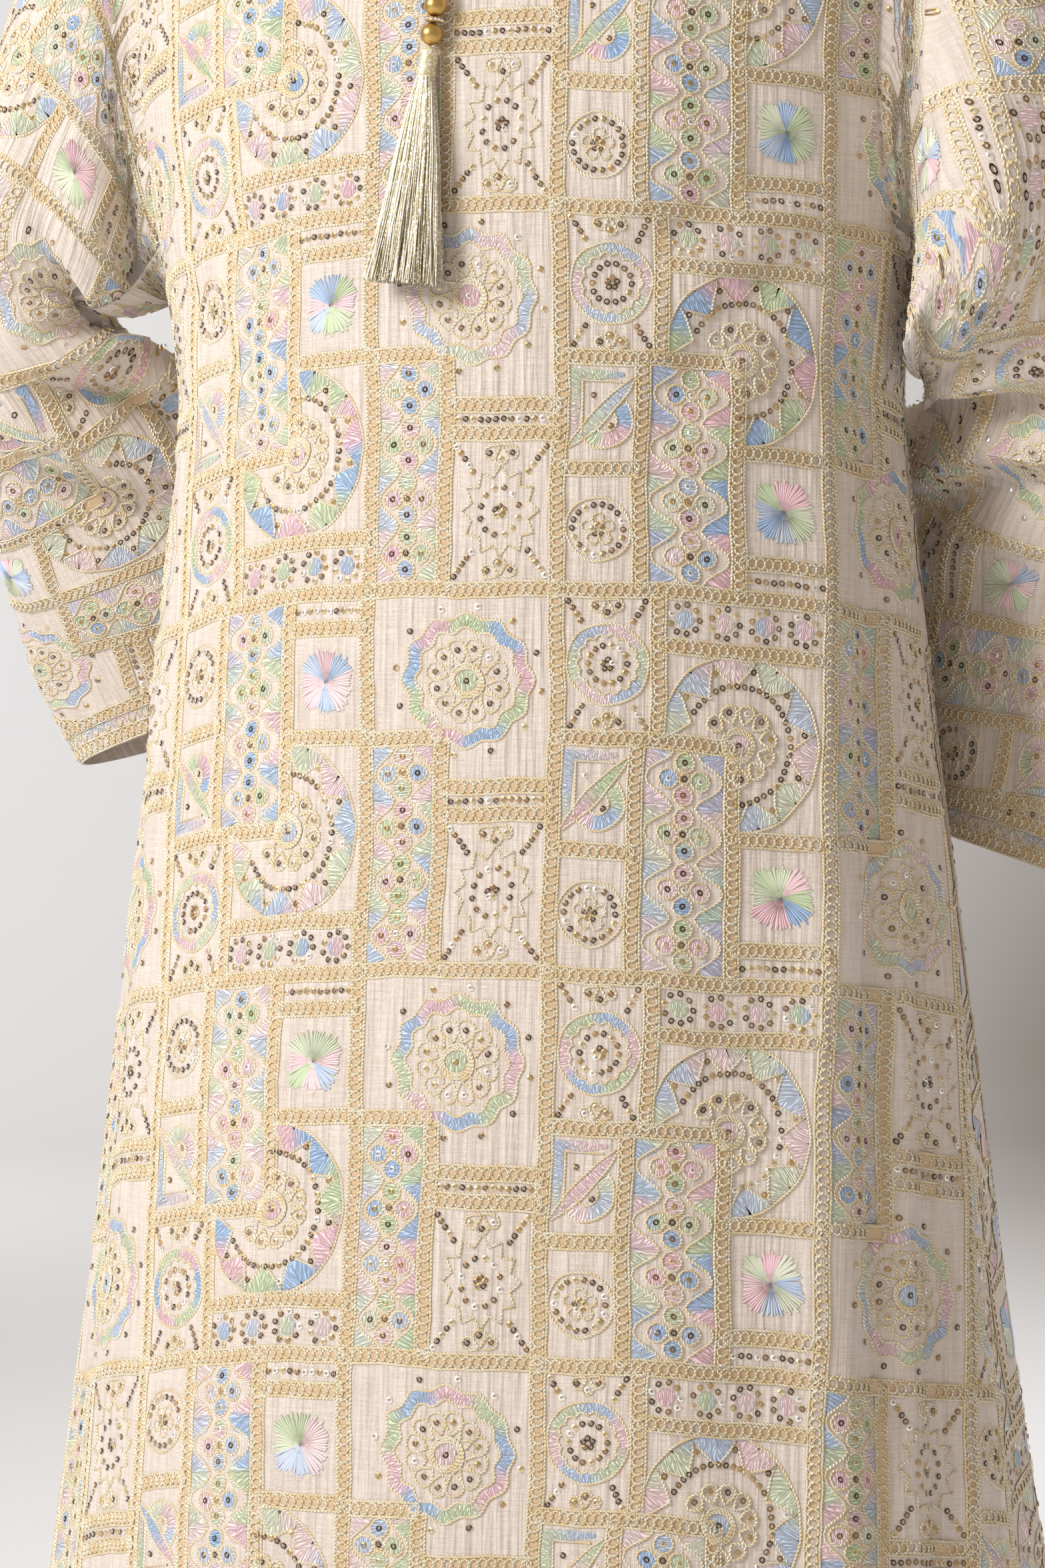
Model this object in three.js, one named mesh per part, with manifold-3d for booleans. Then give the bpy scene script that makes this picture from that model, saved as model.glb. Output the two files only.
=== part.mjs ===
// A long A-line kaftan with wide sleeves, filled out as it is worn, with a tassel at the neck.
// Millimetres, +Z up, the front faces -Y and +X is the wearer's left.
// The origin is the middle of the shoulder line, where a wearer's shoulders carry it.
import * as THREE from 'three';
import * as BufferGeometryUtils from 'three/addons/utils/BufferGeometryUtils.js';
import Module from 'manifold-3d';

const wasm = await Module();
wasm.setup();

// Cloth and seams
const WALL = 1.6; // embroidered cloth with its threads
const SEAM_GAP = 0.3; // between sewn pieces
const ARMHOLE_GAP = 0.5; // wider, because the sleeve turns sharply off the panels there

// Shoulders, neck and armholes
const SHOULDER_REACH = 222; // centre to the dropped armhole seam
const NECK_HALF_WIDTH = 88;
const NECK_DROP = { front: 105, back: 22 };
const NECK_RISE = 20; // the shoulder line's middle above the origin
const SHOULDER_SLOPE = 58; // from the middle down to the armhole seam
const SLOPE_POWER = 1.8;
const CAP_DROP = { front: 165, back: 120 }; // how far down the shoulder rounds over
const ARMHOLE_WIDEST_DROP = 194;
const UNDERARM_DROP = 348;
const ARMHOLE_OPENNESS = 0.443; // armhole's half width over the body's half depth
const HEM_DROP = 1310;

// The body's sections are ovals: half width, and half depth to the front and back. Above the
// underarm the armholes cut their ends off.
const SECTIONS = [
  { drop: 0, width: 247.6, front: 138, back: 112 },
  { drop: 165, width: 247.6, front: 146, back: 118 },
  { drop: 240, width: 240, front: 152, back: 120 },
  { drop: 348, width: 220, front: 152, back: 122 },
  { drop: 411, width: 212, front: 152, back: 125 },
  { drop: 456, width: 215, front: 153, back: 129 },
  { drop: 608, width: 231, front: 160, back: 150 },
  { drop: 724, width: 245, front: 168, back: 162 },
  { drop: 858, width: 259, front: 180, back: 178 },
  { drop: 992, width: 275, front: 192, back: 192 },
  { drop: 1081, width: 287, front: 199, back: 202 },
  { drop: 1310, width: 311, front: 216, back: 222 },
];

// Flutes of the skirt. Angles run from the front centre towards the wearer's left, in degrees,
// at the flute's start and at the hem. Height is at the hem, below zero for a trough, and grows
// from the start down with the power FLUTE_GROWTH.
const FLUTE_GROWTH = 1.2;
const FLUTES = [
  { top: 62, hem: 50, height: 10, spread: 7, start: 400 },
  { top: 75, hem: 61, height: -11, spread: 6, start: 480 },
  { top: 86, hem: 73, height: 9, spread: 6, start: 560 },
  { top: 98, hem: 86, height: -9, spread: 7, start: 560 },
  { top: 112, hem: 101, height: 10, spread: 7, start: 520 },
  { top: 126, hem: 117, height: -9, spread: 8, start: 600 },
  { top: 141, hem: 134, height: 9, spread: 8, start: 560 },
  { top: 157, hem: 152, height: -8, spread: 8, start: 640 },
  { top: 173, hem: 170, height: 9, spread: 9, start: 600 },
  { top: 190, hem: 188, height: -8, spread: 8, start: 620 },
  { top: 206, hem: 205, height: 10, spread: 8, start: 560 },
  { top: 222, hem: 223, height: -9, spread: 8, start: 620 },
  { top: 238, hem: 241, height: 9, spread: 8, start: 560 },
  { top: 252, hem: 257, height: -9, spread: 7, start: 600 },
  { top: 266, hem: 272, height: 9, spread: 7, start: 560 },
  { top: 278, hem: 286, height: -9, spread: 6, start: 540 },
  { top: 290, hem: 299, height: 8, spread: 6, start: 520 },
  { top: 304, hem: 312, height: -6, spread: 7, start: 620 },
  { top: 334, hem: 336, height: 4, spread: 11, start: 700 },
  { top: 14, hem: 14, height: -4, spread: 10, start: 760 },
  { top: 34, hem: 31, height: 4, spread: 9, start: 700 },
];

// Sleeve sections from the armhole to the cuff, x outwards from the body. Each is an oval from
// its inner end, on the underarm side, to its outer end, and half is its half depth between them.
const RIGHT_SLEEVE = [
  { inner: [229, 2, -349], outer: [243, 2, -52], half: 66 },
  { inner: [239, 0, -353], outer: [272, 4, -84], half: 70 },
  { inner: [250, -6, -357], outer: [302, 6, -130], half: 72 },
  { inner: [262, -14, -359], outer: [326, 8, -180], half: 71 },
  { inner: [270, -21, -357], outer: [346, 12, -225], half: 67 },
  { inner: [276, -25, -352], outer: [364, 18, -268], half: 61 },
  { inner: [280, -26, -349], outer: [378, 26, -308], half: 56 },
  { inner: [282, -22, -351], outer: [386, 36, -350], half: 54 },
  { inner: [278, -10, -359], outer: [389, 46, -395], half: 55 },
  { inner: [265, 14, -373], outer: [387, 54, -435], half: 57 },
  { inner: [240, 48, -389], outer: [382, 62, -470], half: 57 },
  { inner: [207, 88, -414], outer: [375, 70, -508], half: 54 },
  { inner: [180, 118, -448], outer: [366, 78, -543], half: 50 },
  { inner: [163, 137, -486], outer: [356, 86, -574], half: 48 },
  { inner: [156, 147, -526], outer: [345, 94, -600], half: 47 },
  { inner: [155, 152, -562], outer: [334, 100, -622], half: 46 },
];
const LEFT_SLEEVE = [
  { inner: [229, 2, -350], outer: [243, 2, -52], half: 66 },
  { inner: [230, -6, -368], outer: [272, 4, -84], half: 72 },
  { inner: [228, -14, -384], outer: [302, 6, -130], half: 75 },
  { inner: [225, -19, -396], outer: [328, 8, -185], half: 76 },
  { inner: [223, -22, -404], outer: [350, 12, -235], half: 73 },
  { inner: [225, -12, -410], outer: [370, 18, -285], half: 67 },
  { inner: [226, 8, -412], outer: [386, 26, -330], half: 60 },
  { inner: [221, 32, -413], outer: [396, 36, -372], half: 61 },
  { inner: [211, 58, -414], outer: [400, 44, -412], half: 63 },
  { inner: [198, 82, -416], outer: [402, 50, -452], half: 63 },
  { inner: [187, 101, -422], outer: [401, 56, -490], half: 61 },
  { inner: [180, 115, -436], outer: [399, 60, -527], half: 58 },
  { inner: [177, 126, -458], outer: [396, 64, -562], half: 54 },
  { inner: [178, 134, -494], outer: [391, 68, -604], half: 50 },
  { inner: [181, 139, -548], outer: [385, 71, -644], half: 50 },
  { inner: [187, 142, -604], outer: [380, 73, -680], half: 50 },
  { inner: [195, 143, -654], outer: [374, 75, -714], half: 50 },
];
const EVEN_BY_RING = 6; // from here on, a sleeve's points are evenly spaced round it

// Tassel, beads and cord
const CORD_DIAMETER = 2;
const CORD_SIDES = 8;
const CORD_STEPS = 24;
const CORD_ROUTE = [
  [0, -135.9, -97], [0, -138.3, -104], [0, -140.6, -112], [0, -142.7, -120],
  [0, -144.6, -128], [0, -146.3, -136], [0, -148.0, -144], [0, -149.6, -152],
  [0, -151.2, -160], [0, -152.7, -168], [0, -154.2, -176], [0, -155.7, -184],
  [0, -157.1, -192], [0, -158.4, -199], [0, -159.6, -206],
];
const TASSEL_TOP = [0, -160, -206.6]; // top of the upper ring, where the cord goes in
const TASSEL_LEAN = 7.3; // degrees towards the wearer's right
const TASSEL_TILT = 2.2; // degrees away from the chest
const BEAD_DIAMETER = 12.2;
const BEAD_HOLE = 2.6;
const BEAD_STEPS = 8; // from one end of the bead's hole to the other
const BEAD_HEIGHT = Math.sqrt(BEAD_DIAMETER ** 2 - BEAD_HOLE ** 2);
const RING_DIAMETER = 9.4;
const RING_HEIGHT = 3;
const RING_EDGE = 0.8; // its bevel
const TURNED_SIDES = 20;
const HEAD_HEIGHT = 17;
const HEAD_SIDES = 16;
// Radius and height from the head's top down to its foot, which is bound
const HEAD_PROFILE = [
  [0, 0], [3.4, 0], [5.2, -1.8], [5.8, -6], [5.3, 4.5 - HEAD_HEIGHT], [6.1, 3.5 - HEAD_HEIGHT],
  [6.1, 0.8 - HEAD_HEIGHT], [5.4, -HEAD_HEIGHT], [0, -HEAD_HEIGHT],
];
const SKIRT_LENGTH = 112;
const SKIRT_HALF_WIDTH = 21;
const SKIRT_HALF_DEPTH = 8.6;
const LOCK_RINGS = [
  { locks: 26, share: 1.0 },
  { locks: 18, share: 0.66 },
  { locks: 10, share: 0.32 },
];
const LOCK_ROOT = 0.6; // a lock's radius in the head and at its tip
const LOCK_TIP = 1.15;
const LOCK_STEPS = 4;
const LOCK_ROOT_REACH = 4.4; // the outer locks' roots from the head's axis
const LOCK_ROOT_DEPTH = 2; // the roots' height above the head's foot
const LOCK_UNEVEN = 2.5; // how much shorter some locks are
const LOCK_BOW = 0.75; // below 1, the locks leave the head steeply and then hang straighter

// Grid of a body panel
const NECK_COLUMNS = 12;
const SHOULDER_COLUMNS = 9;
const CAP_ROWS = 5;
const ARMHOLE_ROWS = 6;
const SKIRT_ROWS = 14;

const radians = THREE.MathUtils.degToRad;
const vector = (list) => new THREE.Vector3(...list);

// A column of SECTIONS at a drop, on a smooth curve through the rows.
function section(name, drop) {
  const last = SECTIONS.length - 1;
  const after = SECTIONS.findIndex((row) => row.drop >= drop);
  const k = Math.max(1, after < 0 ? last : after);
  const slope = (i) => {
    const low = SECTIONS[Math.max(0, i - 1)];
    const high = SECTIONS[Math.min(last, i + 1)];
    return (high[name] - low[name]) / (high.drop - low.drop);
  };
  const from = SECTIONS[k - 1];
  const to = SECTIONS[k];
  const span = to.drop - from.drop;
  const t = (drop - from.drop) / span;
  const t2 = t * t;
  const t3 = t2 * t;
  return (2 * t3 - 3 * t2 + 1) * from[name] + (t3 - 2 * t2 + t) * span * slope(k - 1)
    + (3 * t2 - 2 * t3) * to[name] + (t3 - t2) * span * slope(k);
}

// How far the armhole is open at a drop, 1 at its widest and 0 at the underarm.
function armholeShare(drop) {
  const below = Math.max(0, (drop - ARMHOLE_WIDEST_DROP) / (UNDERARM_DROP - ARMHOLE_WIDEST_DROP));
  return Math.sqrt(Math.max(0, 1 - below * below));
}

// The angle on that oval where the panel ends, at its armhole or its side seam.
function edgeAngle(drop, depth) {
  const open = drop >= UNDERARM_DROP ? 0 : ARMHOLE_OPENNESS * armholeShare(drop);
  return Math.acos(open) - (open === 0 ? SEAM_GAP / 2 / depth : 0);
}

// Outward height of all flutes at an angle from the front centre, in degrees, and a drop.
function fluteHeight(angle, drop) {
  return FLUTES.reduce((sum, flute) => {
    const t = (drop - flute.start) / (HEM_DROP - flute.start);
    if (t <= 0) return sum;
    const line = flute.top + (flute.hem - flute.top) * t;
    const off = ((((angle - line + 180) % 360) + 360) % 360) - 180;
    return sum + flute.height * t ** FLUTE_GROWTH * Math.exp(-((off / flute.spread) ** 2));
  }, 0);
}

// Turns a drop into the running value of a panel's length, an angle where the shoulder rounds
// over and then in equal proportion, and back.
const lengthwise = (face, drop) => {
  const cap = CAP_DROP[face];
  return drop < cap ? Math.acos(1 - drop / cap) : Math.PI / 2 + (drop - cap) / cap;
};
const dropOf = (face, t) => {
  const cap = CAP_DROP[face];
  return t < Math.PI / 2 ? cap * (1 - Math.cos(t)) : cap * (1 + t - Math.PI / 2);
};

// Middle of the cloth on the front or back, at an angle across and a running length.
function bodyPoint(face, across, t) {
  const drop = dropOf(face, t);
  const toBack = face === 'front' ? -1 : 1;
  const a = section('width', drop);
  const b = section(face, drop) * (t < Math.PI / 2 ? Math.sin(t) : 1);
  const x = a * Math.sin(across);
  const fade = Math.max(0, 1 - drop / UNDERARM_DROP) ** 2;
  const rise = NECK_RISE - SHOULDER_SLOPE * (Math.abs(x) / SHOULDER_REACH) ** SLOPE_POWER;
  const angle = THREE.MathUtils.radToDeg(face === 'front' ? across : Math.PI - across);
  const height = fluteHeight(angle, drop);
  const out = new THREE.Vector2(Math.sin(across) / a, Math.cos(across) / Math.max(b, 1)).normalize();
  return new THREE.Vector3(
    x + out.x * height,
    toBack * (b * Math.cos(across) + out.y * height),
    -drop + rise * fade,
  );
}

// Outward unit normal of the body there, from two short steps along the cloth.
function bodyNormal(face, across, t) {
  const step = 1e-3;
  const side = bodyPoint(face, across + step, t).sub(bodyPoint(face, across - step, t));
  const down = bodyPoint(face, across, t + step).sub(bodyPoint(face, across, t - step));
  const normal = side.cross(down).normalize();
  return face === 'front' ? normal.negate() : normal;
}

// A closed wall between two grids of points, wrapped round or with four edges.
function wall(outer, inner, wrapped) {
  const rows = outer.length;
  const columns = outer[0].length;
  const spans = wrapped ? columns : columns - 1;
  const position = [...outer.flat(), ...inner.flat()].flatMap((p) => [p.x, p.y, p.z]);
  const at = (layer, i, j) => layer * rows * columns + i * columns + (j % columns);
  const index = [];
  const quad = (a, b, c, d) => index.push(a, b, c, a, c, d);
  for (let i = 0; i < rows - 1; i++) {
    for (let j = 0; j < spans; j++) {
      const [a, b, c, d] = [at(0, i, j), at(0, i + 1, j), at(0, i + 1, j + 1), at(0, i, j + 1)];
      const next = (j + 1) % columns;
      const falling = outer[i][j].distanceTo(outer[i + 1][next]);
      const rising = outer[i][next].distanceTo(outer[i + 1][j]);
      const under = rows * columns;
      if (falling <= rising) {
        quad(a, b, c, d);
        quad(a + under, d + under, c + under, b + under);
      } else {
        quad(b, c, d, a);
        quad(b + under, a + under, d + under, c + under);
      }
    }
  }
  for (let j = 0; j < spans; j++) {
    quad(at(0, 0, j), at(0, 0, j + 1), at(1, 0, j + 1), at(1, 0, j));
    quad(at(0, rows - 1, j + 1), at(0, rows - 1, j), at(1, rows - 1, j), at(1, rows - 1, j + 1));
  }
  for (let i = 0; !wrapped && i < rows - 1; i++) {
    quad(at(0, i + 1, 0), at(0, i, 0), at(1, i, 0), at(1, i + 1, 0));
    quad(at(0, i, spans), at(0, i + 1, spans), at(1, i + 1, spans), at(1, i, spans));
  }
  return facingOut(position, index);
}

// A geometry whose triangles all face out of the volume that they close.
function facingOut(position, index) {
  let volume = 0;
  const corner = (k) => new THREE.Vector3().fromArray(position, 3 * k);
  for (let k = 0; k < index.length; k += 3) {
    const [a, b, c] = [corner(index[k]), corner(index[k + 1]), corner(index[k + 2])];
    volume += a.dot(b.cross(c));
  }
  const geometry = new THREE.BufferGeometry();
  geometry.setAttribute('position', new THREE.Float32BufferAttribute(position, 3));
  geometry.setIndex(volume > 0 ? index : index.reverse());
  return geometry;
}

// Shares across a panel, from one armhole or side seam to the other, with a column at each
// neck point.
function columnShares(face) {
  const neck = Math.asin(NECK_HALF_WIDTH / section('width', 0)) / edgeAngle(0, section(face, 0));
  const shares = [];
  for (let j = 0; j < SHOULDER_COLUMNS; j++) shares.push(-1 + ((1 - neck) * j) / SHOULDER_COLUMNS);
  for (let j = 0; j < NECK_COLUMNS; j++) shares.push(-neck + (2 * neck * j) / NECK_COLUMNS);
  for (let j = 0; j <= SHOULDER_COLUMNS; j++) shares.push(neck + ((1 - neck) * j) / SHOULDER_COLUMNS);
  return shares;
}

// Drops of a panel's rows, closer together where the armhole curves under the arm.
function rowDrops(face) {
  const drops = [];
  for (let i = 0; i <= CAP_ROWS; i++) drops.push(dropOf(face, (Math.PI / 2) * (i / CAP_ROWS)));
  const curve = UNDERARM_DROP - ARMHOLE_WIDEST_DROP;
  for (let i = 0; i <= ARMHOLE_ROWS; i++) {
    drops.push(ARMHOLE_WIDEST_DROP + curve * Math.sin((Math.PI / 2) * (i / ARMHOLE_ROWS)));
  }
  for (let i = 1; i <= SKIRT_ROWS; i++) {
    drops.push(UNDERARM_DROP + (HEM_DROP - UNDERARM_DROP) * (i / SKIRT_ROWS));
  }
  return drops;
}

// Where a column of a panel starts: at the shoulder seam, half a seam gap off it, or at the neck.
function columnStart(face, share) {
  const across = share * edgeAngle(0, section(face, 0));
  const x = section('width', 0) * Math.sin(across);
  const inNeck = 1 - (x / NECK_HALF_WIDTH) ** 2;
  const seam = Math.asin(SEAM_GAP / 2 / (section(face, 0) * Math.cos(across)));
  if (inNeck <= 1e-9) return seam;
  return Math.max(seam, lengthwise(face, NECK_DROP[face] * Math.sqrt(inNeck)));
}

// Angle across and running length of every point of a panel, and its cloth's two faces.
function panelGrid(face) {
  const level = lengthwise(face, ARMHOLE_WIDEST_DROP);
  const starts = columnShares(face).map((share) => [share, columnStart(face, share)]);
  const places = rowDrops(face).map((drop) => starts.map(([share, start]) => {
    const even = lengthwise(face, drop);
    const t = even < level ? start + even * (1 - start / level) : even;
    const depth = section(face, dropOf(face, t));
    return { across: share * edgeAngle(dropOf(face, t), depth), t };
  }));
  const side = (offset) => places.map((row) => row.map(({ across, t }) =>
    bodyPoint(face, across, t).addScaledVector(bodyNormal(face, across, t), offset)));
  return { outer: side(WALL / 2), inner: side(-WALL / 2) };
}

// The sleeve's first ring, beside the edges of both panels round the armhole. Points run from
// the shoulder down the front and up the back.
function armholeRing(front, back, side) {
  const last = CAP_ROWS + 1 + ARMHOLE_ROWS;
  const column = (grid, i) => (side > 0 ? grid[i].at(-1) : grid[i][0]);
  const loop = (layer) => {
    const down = [];
    const up = [];
    for (let i = 0; i <= last; i++) {
      down.push(column(front[layer], i).clone());
      up.unshift(column(back[layer], i).clone());
    }
    return [...down, ...up];
  };
  const outer = loop('outer');
  const inner = loop('inner');
  const middle = outer.map((p, k) => p.clone().lerp(inner[k], 0.5));
  const centre = new THREE.Vector3(side * SHOULDER_REACH, 0, -ARMHOLE_WIDEST_DROP);
  const count = middle.length;
  const into = middle.map((p, k) => {
    const along = middle[(k + 1) % count].clone().sub(middle[(k + count - 1) % count]);
    const normal = outer[k].clone().sub(inner[k]);
    const step = normal.cross(along).normalize();
    return step.dot(centre.clone().sub(p)) < 0 ? step.negate() : step;
  });
  const shift = (ring) => ring.map((p, k) => p.clone().addScaledVector(into[k], ARMHOLE_GAP));
  return { outer: shift(outer), inner: shift(inner), middle };
}

// A sleeve's wall from its armhole ring through the sections of its table.
function sleeveGrid(ring, table, side) {
  const count = ring.middle.length;
  const heights = ring.middle.map((p) => p.z);
  const top = Math.max(...heights);
  const half = (top - Math.min(...heights)) / 2;
  const turn = heights.map((z, j) => {
    const angle = Math.acos(THREE.MathUtils.clamp((z - top + half) / half, -1, 1));
    return j < count / 2 ? angle : 2 * Math.PI - angle;
  });
  const middle = table.map((row, k) => {
    const inner = vector(row.inner);
    const outer = vector(row.outer);
    inner.x *= side;
    outer.x *= side;
    const centre = inner.clone().lerp(outer, 0.5);
    const long = outer.clone().sub(centre);
    const unit = long.clone().normalize();
    const depth = new THREE.Vector3(0, -1, 0).addScaledVector(unit, unit.y).normalize();
    const even = Math.min(1, (k + 1) / EVEN_BY_RING);
    return turn.map((start, j) => {
      const angle = THREE.MathUtils.lerp(start, (2 * Math.PI * j) / count, even);
      return centre.clone().addScaledVector(long, Math.cos(angle))
        .addScaledVector(depth, row.half * Math.sin(angle));
    });
  });
  const all = [ring.middle, ...middle];
  const offset = (sign) => middle.map((points, k) => points.map((p, j) => {
    const around = points[(j + 1) % count].clone().sub(points[(j + count - 1) % count]);
    const next = all[Math.min(all.length - 1, k + 2)][j];
    const along = next.clone().sub(all[k][j]);
    const normal = around.cross(along).normalize().multiplyScalar(side);
    return p.clone().addScaledVector(normal, (sign * WALL) / 2);
  }));
  return { outer: [ring.outer, ...offset(1)], inner: [ring.inner, ...offset(-1)] };
}

// A turned piece with a hole through it, its axis upright and its top at height 0.
function turned(profile) {
  const points = profile.map(([radius, height]) => new THREE.Vector2(radius, height));
  return new THREE.LatheGeometry([...points, points[0].clone()], TURNED_SIDES);
}

function bead() {
  const radius = BEAD_DIAMETER / 2;
  const hole = BEAD_HOLE / 2;
  const end = Math.asin(hole / radius);
  const profile = [];
  for (let k = 0; k <= BEAD_STEPS; k++) {
    const angle = end + ((Math.PI - 2 * end) * k) / BEAD_STEPS;
    profile.push([radius * Math.sin(angle), -BEAD_HEIGHT / 2 - radius * Math.cos(angle)]);
  }
  return turned(profile);
}

function spacerRing() {
  const hole = BEAD_HOLE / 2;
  const radius = RING_DIAMETER / 2;
  return turned([
    [hole, -RING_HEIGHT], [radius - RING_EDGE, -RING_HEIGHT], [radius, RING_EDGE - RING_HEIGHT],
    [radius, -RING_EDGE], [radius - RING_EDGE, 0], [hole, 0],
  ]);
}

// A three-sided lock of threads on a straight, tapering run between two points.
function lock(from, to) {
  const geometry = new THREE.CylinderGeometry(LOCK_ROOT, LOCK_TIP, 1, 3, LOCK_STEPS);
  const position = geometry.attributes.position;
  for (let k = 0; k < position.count; k++) {
    const share = 0.5 - position.getY(k);
    const bow = share ** LOCK_BOW;
    position.setXYZ(
      k,
      THREE.MathUtils.lerp(from.x, to.x, bow) + position.getX(k),
      THREE.MathUtils.lerp(from.y, to.y, bow) + position.getZ(k),
      THREE.MathUtils.lerp(from.z, to.z, share),
    );
  }
  return geometry;
}

// A closed geometry as a solid that can be joined to others.
function solid(geometry) {
  const bare = new THREE.BufferGeometry();
  bare.setAttribute('position', geometry.attributes.position.clone());
  bare.setIndex(geometry.index.clone());
  const merged = BufferGeometryUtils.mergeVertices(bare, 1e-4);
  const kept = [];
  for (let k = 0; k < merged.index.count; k += 3) {
    const [a, b, c] = [merged.index.getX(k), merged.index.getX(k + 1), merged.index.getX(k + 2)];
    if (a !== b && b !== c && a !== c) kept.push(a, b, c);
  }
  const closed = facingOut([...merged.attributes.position.array], kept);
  return new wasm.Manifold(new wasm.Mesh({
    numProp: 3,
    vertProperties: closed.attributes.position.array,
    triVerts: Uint32Array.from(closed.index.array),
  }));
}

// The tassel's head, bound at its foot, with the roots of all its locks in it.
function tassel() {
  const foot = -HEAD_HEIGHT;
  const outline = HEAD_PROFILE.map(([radius, height]) => new THREE.Vector2(radius, height));
  const head = new THREE.LatheGeometry(outline, HEAD_SIDES);
  head.rotateX(Math.PI / 2);
  let joined = solid(head);
  LOCK_RINGS.forEach(({ locks, share }) => {
    for (let k = 0; k < locks; k++) {
      const angle = (2 * Math.PI * (k + share / 2)) / locks;
      const uneven = LOCK_UNEVEN * Math.sin(7 * k + 5 * share);
      const reach = LOCK_ROOT_REACH * share;
      const root = foot + LOCK_ROOT_DEPTH;
      const from = new THREE.Vector3(reach * Math.cos(angle), reach * Math.sin(angle), root);
      const to = new THREE.Vector3(
        SKIRT_HALF_WIDTH * share * Math.cos(angle),
        SKIRT_HALF_DEPTH * share * Math.sin(angle),
        foot - SKIRT_LENGTH + Math.abs(uneven),
      );
      joined = joined.add(solid(lock(from, to)));
    }
  });
  const mesh = joined.getMesh();
  const geometry = new THREE.BufferGeometry();
  geometry.setAttribute('position', new THREE.Float32BufferAttribute(mesh.vertProperties, 3));
  geometry.setIndex(new THREE.Uint32BufferAttribute(mesh.triVerts, 1));
  return geometry;
}

// The cord from the front of the neckline down to the upper ring.
function cord() {
  const radius = CORD_DIAMETER / 2;
  const corners = Array.from({ length: CORD_SIDES }, (_, k) => {
    const angle = (2 * Math.PI * k) / CORD_SIDES;
    return new THREE.Vector2(radius * Math.cos(angle), radius * Math.sin(angle));
  });
  return new THREE.ExtrudeGeometry(new THREE.Shape(corners), {
    steps: CORD_STEPS,
    extrudePath: new THREE.CatmullRomCurve3(CORD_ROUTE.map(vector)),
  });
}

const CLOTH = { color: 0xe4d6c4, roughness: 0.85, metalness: 0 };
const GOLD = { color: 0xb9975a, roughness: 0.35, metalness: 0.9 };
const THREAD = { color: 0xc9bd93, roughness: 0.5, metalness: 0.3 };

const kaftan = new THREE.Group();
function piece(parent, name, geometry, finish) {
  const mesh = new THREE.Mesh(geometry, new THREE.MeshStandardMaterial(finish));
  mesh.name = name;
  parent.add(mesh);
  return mesh;
}

const front = panelGrid('front');
const back = panelGrid('back');
piece(kaftan, 'front_panel', wall(front.outer, front.inner, false), CLOTH);
piece(kaftan, 'back_panel', wall(back.outer, back.inner, false), CLOTH);
[['sleeve_left', LEFT_SLEEVE, 1], ['sleeve_right', RIGHT_SLEEVE, -1]].forEach(([name, table, side]) => {
  const grid = sleeveGrid(armholeRing(front, back, side), table, side);
  piece(kaftan, name, wall(grid.outer, grid.inner, true), CLOTH);
});
piece(kaftan, 'tassel_cord', cord(), THREAD);

// What hangs on the cord is strung along one leaning line, each piece a seam gap below the last.
const hanging = new THREE.Group();
hanging.position.fromArray(TASSEL_TOP);
hanging.rotation.set(radians(-TASSEL_TILT), radians(TASSEL_LEAN), 0);
kaftan.add(hanging);
let level = 0;
[
  ['ring_upper', spacerRing, GOLD, RING_HEIGHT],
  ['bead_upper', bead, GOLD, BEAD_HEIGHT],
  ['ring_lower', spacerRing, GOLD, RING_HEIGHT],
  ['bead_lower', bead, GOLD, BEAD_HEIGHT],
  ['tassel', tassel, THREAD, HEAD_HEIGHT],
].forEach(([name, make, finish, height]) => {
  const lathed = make();
  if (name !== 'tassel') lathed.rotateX(Math.PI / 2);
  piece(hanging, name, lathed, finish).position.z = level;
  level -= height + SEAM_GAP;
});

export default kaftan;
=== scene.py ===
# %% [markdown]
# # A patchwork kaftan with a tassel
#
# A kaftan is a long, loose robe with wide sleeves. This one is an A-line of thin slubbed cloth,
# embroidered all over in a patchwork of corded chain bands, flowers, fans, suns and sequins, with
# a beaded tassel hanging at its neck. It keeps the filled-out form that it has when it is worn.
#
# Lengths are in millimetres until a mesh is made, because the cloth was cut in millimetres.

from math import cos, pi, radians, sin

import bpy
import numpy as np
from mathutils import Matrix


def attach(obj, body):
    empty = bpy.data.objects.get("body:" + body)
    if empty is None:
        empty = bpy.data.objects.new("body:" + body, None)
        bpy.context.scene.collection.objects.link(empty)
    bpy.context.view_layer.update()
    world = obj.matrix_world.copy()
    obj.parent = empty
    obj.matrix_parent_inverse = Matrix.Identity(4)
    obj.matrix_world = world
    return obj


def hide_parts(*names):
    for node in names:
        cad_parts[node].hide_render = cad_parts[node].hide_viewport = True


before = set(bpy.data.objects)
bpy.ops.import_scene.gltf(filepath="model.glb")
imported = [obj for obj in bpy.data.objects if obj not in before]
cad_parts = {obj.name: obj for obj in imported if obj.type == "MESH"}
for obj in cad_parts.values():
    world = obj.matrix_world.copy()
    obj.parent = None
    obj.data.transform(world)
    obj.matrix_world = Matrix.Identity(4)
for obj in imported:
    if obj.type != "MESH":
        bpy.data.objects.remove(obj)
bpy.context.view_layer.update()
MM = 0.001
chance = np.random.default_rng(11)

# %% [markdown]
# ## Where the photograph was taken from
#
# A studio camera stands a few steps away at hip height, a little to the kaftan's left, so the
# kaftan is seen almost from the front. It could have been matched by eye with an orbit; placing
# it from a measured angle, distance and height keeps every part in the same place in the picture.

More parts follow.
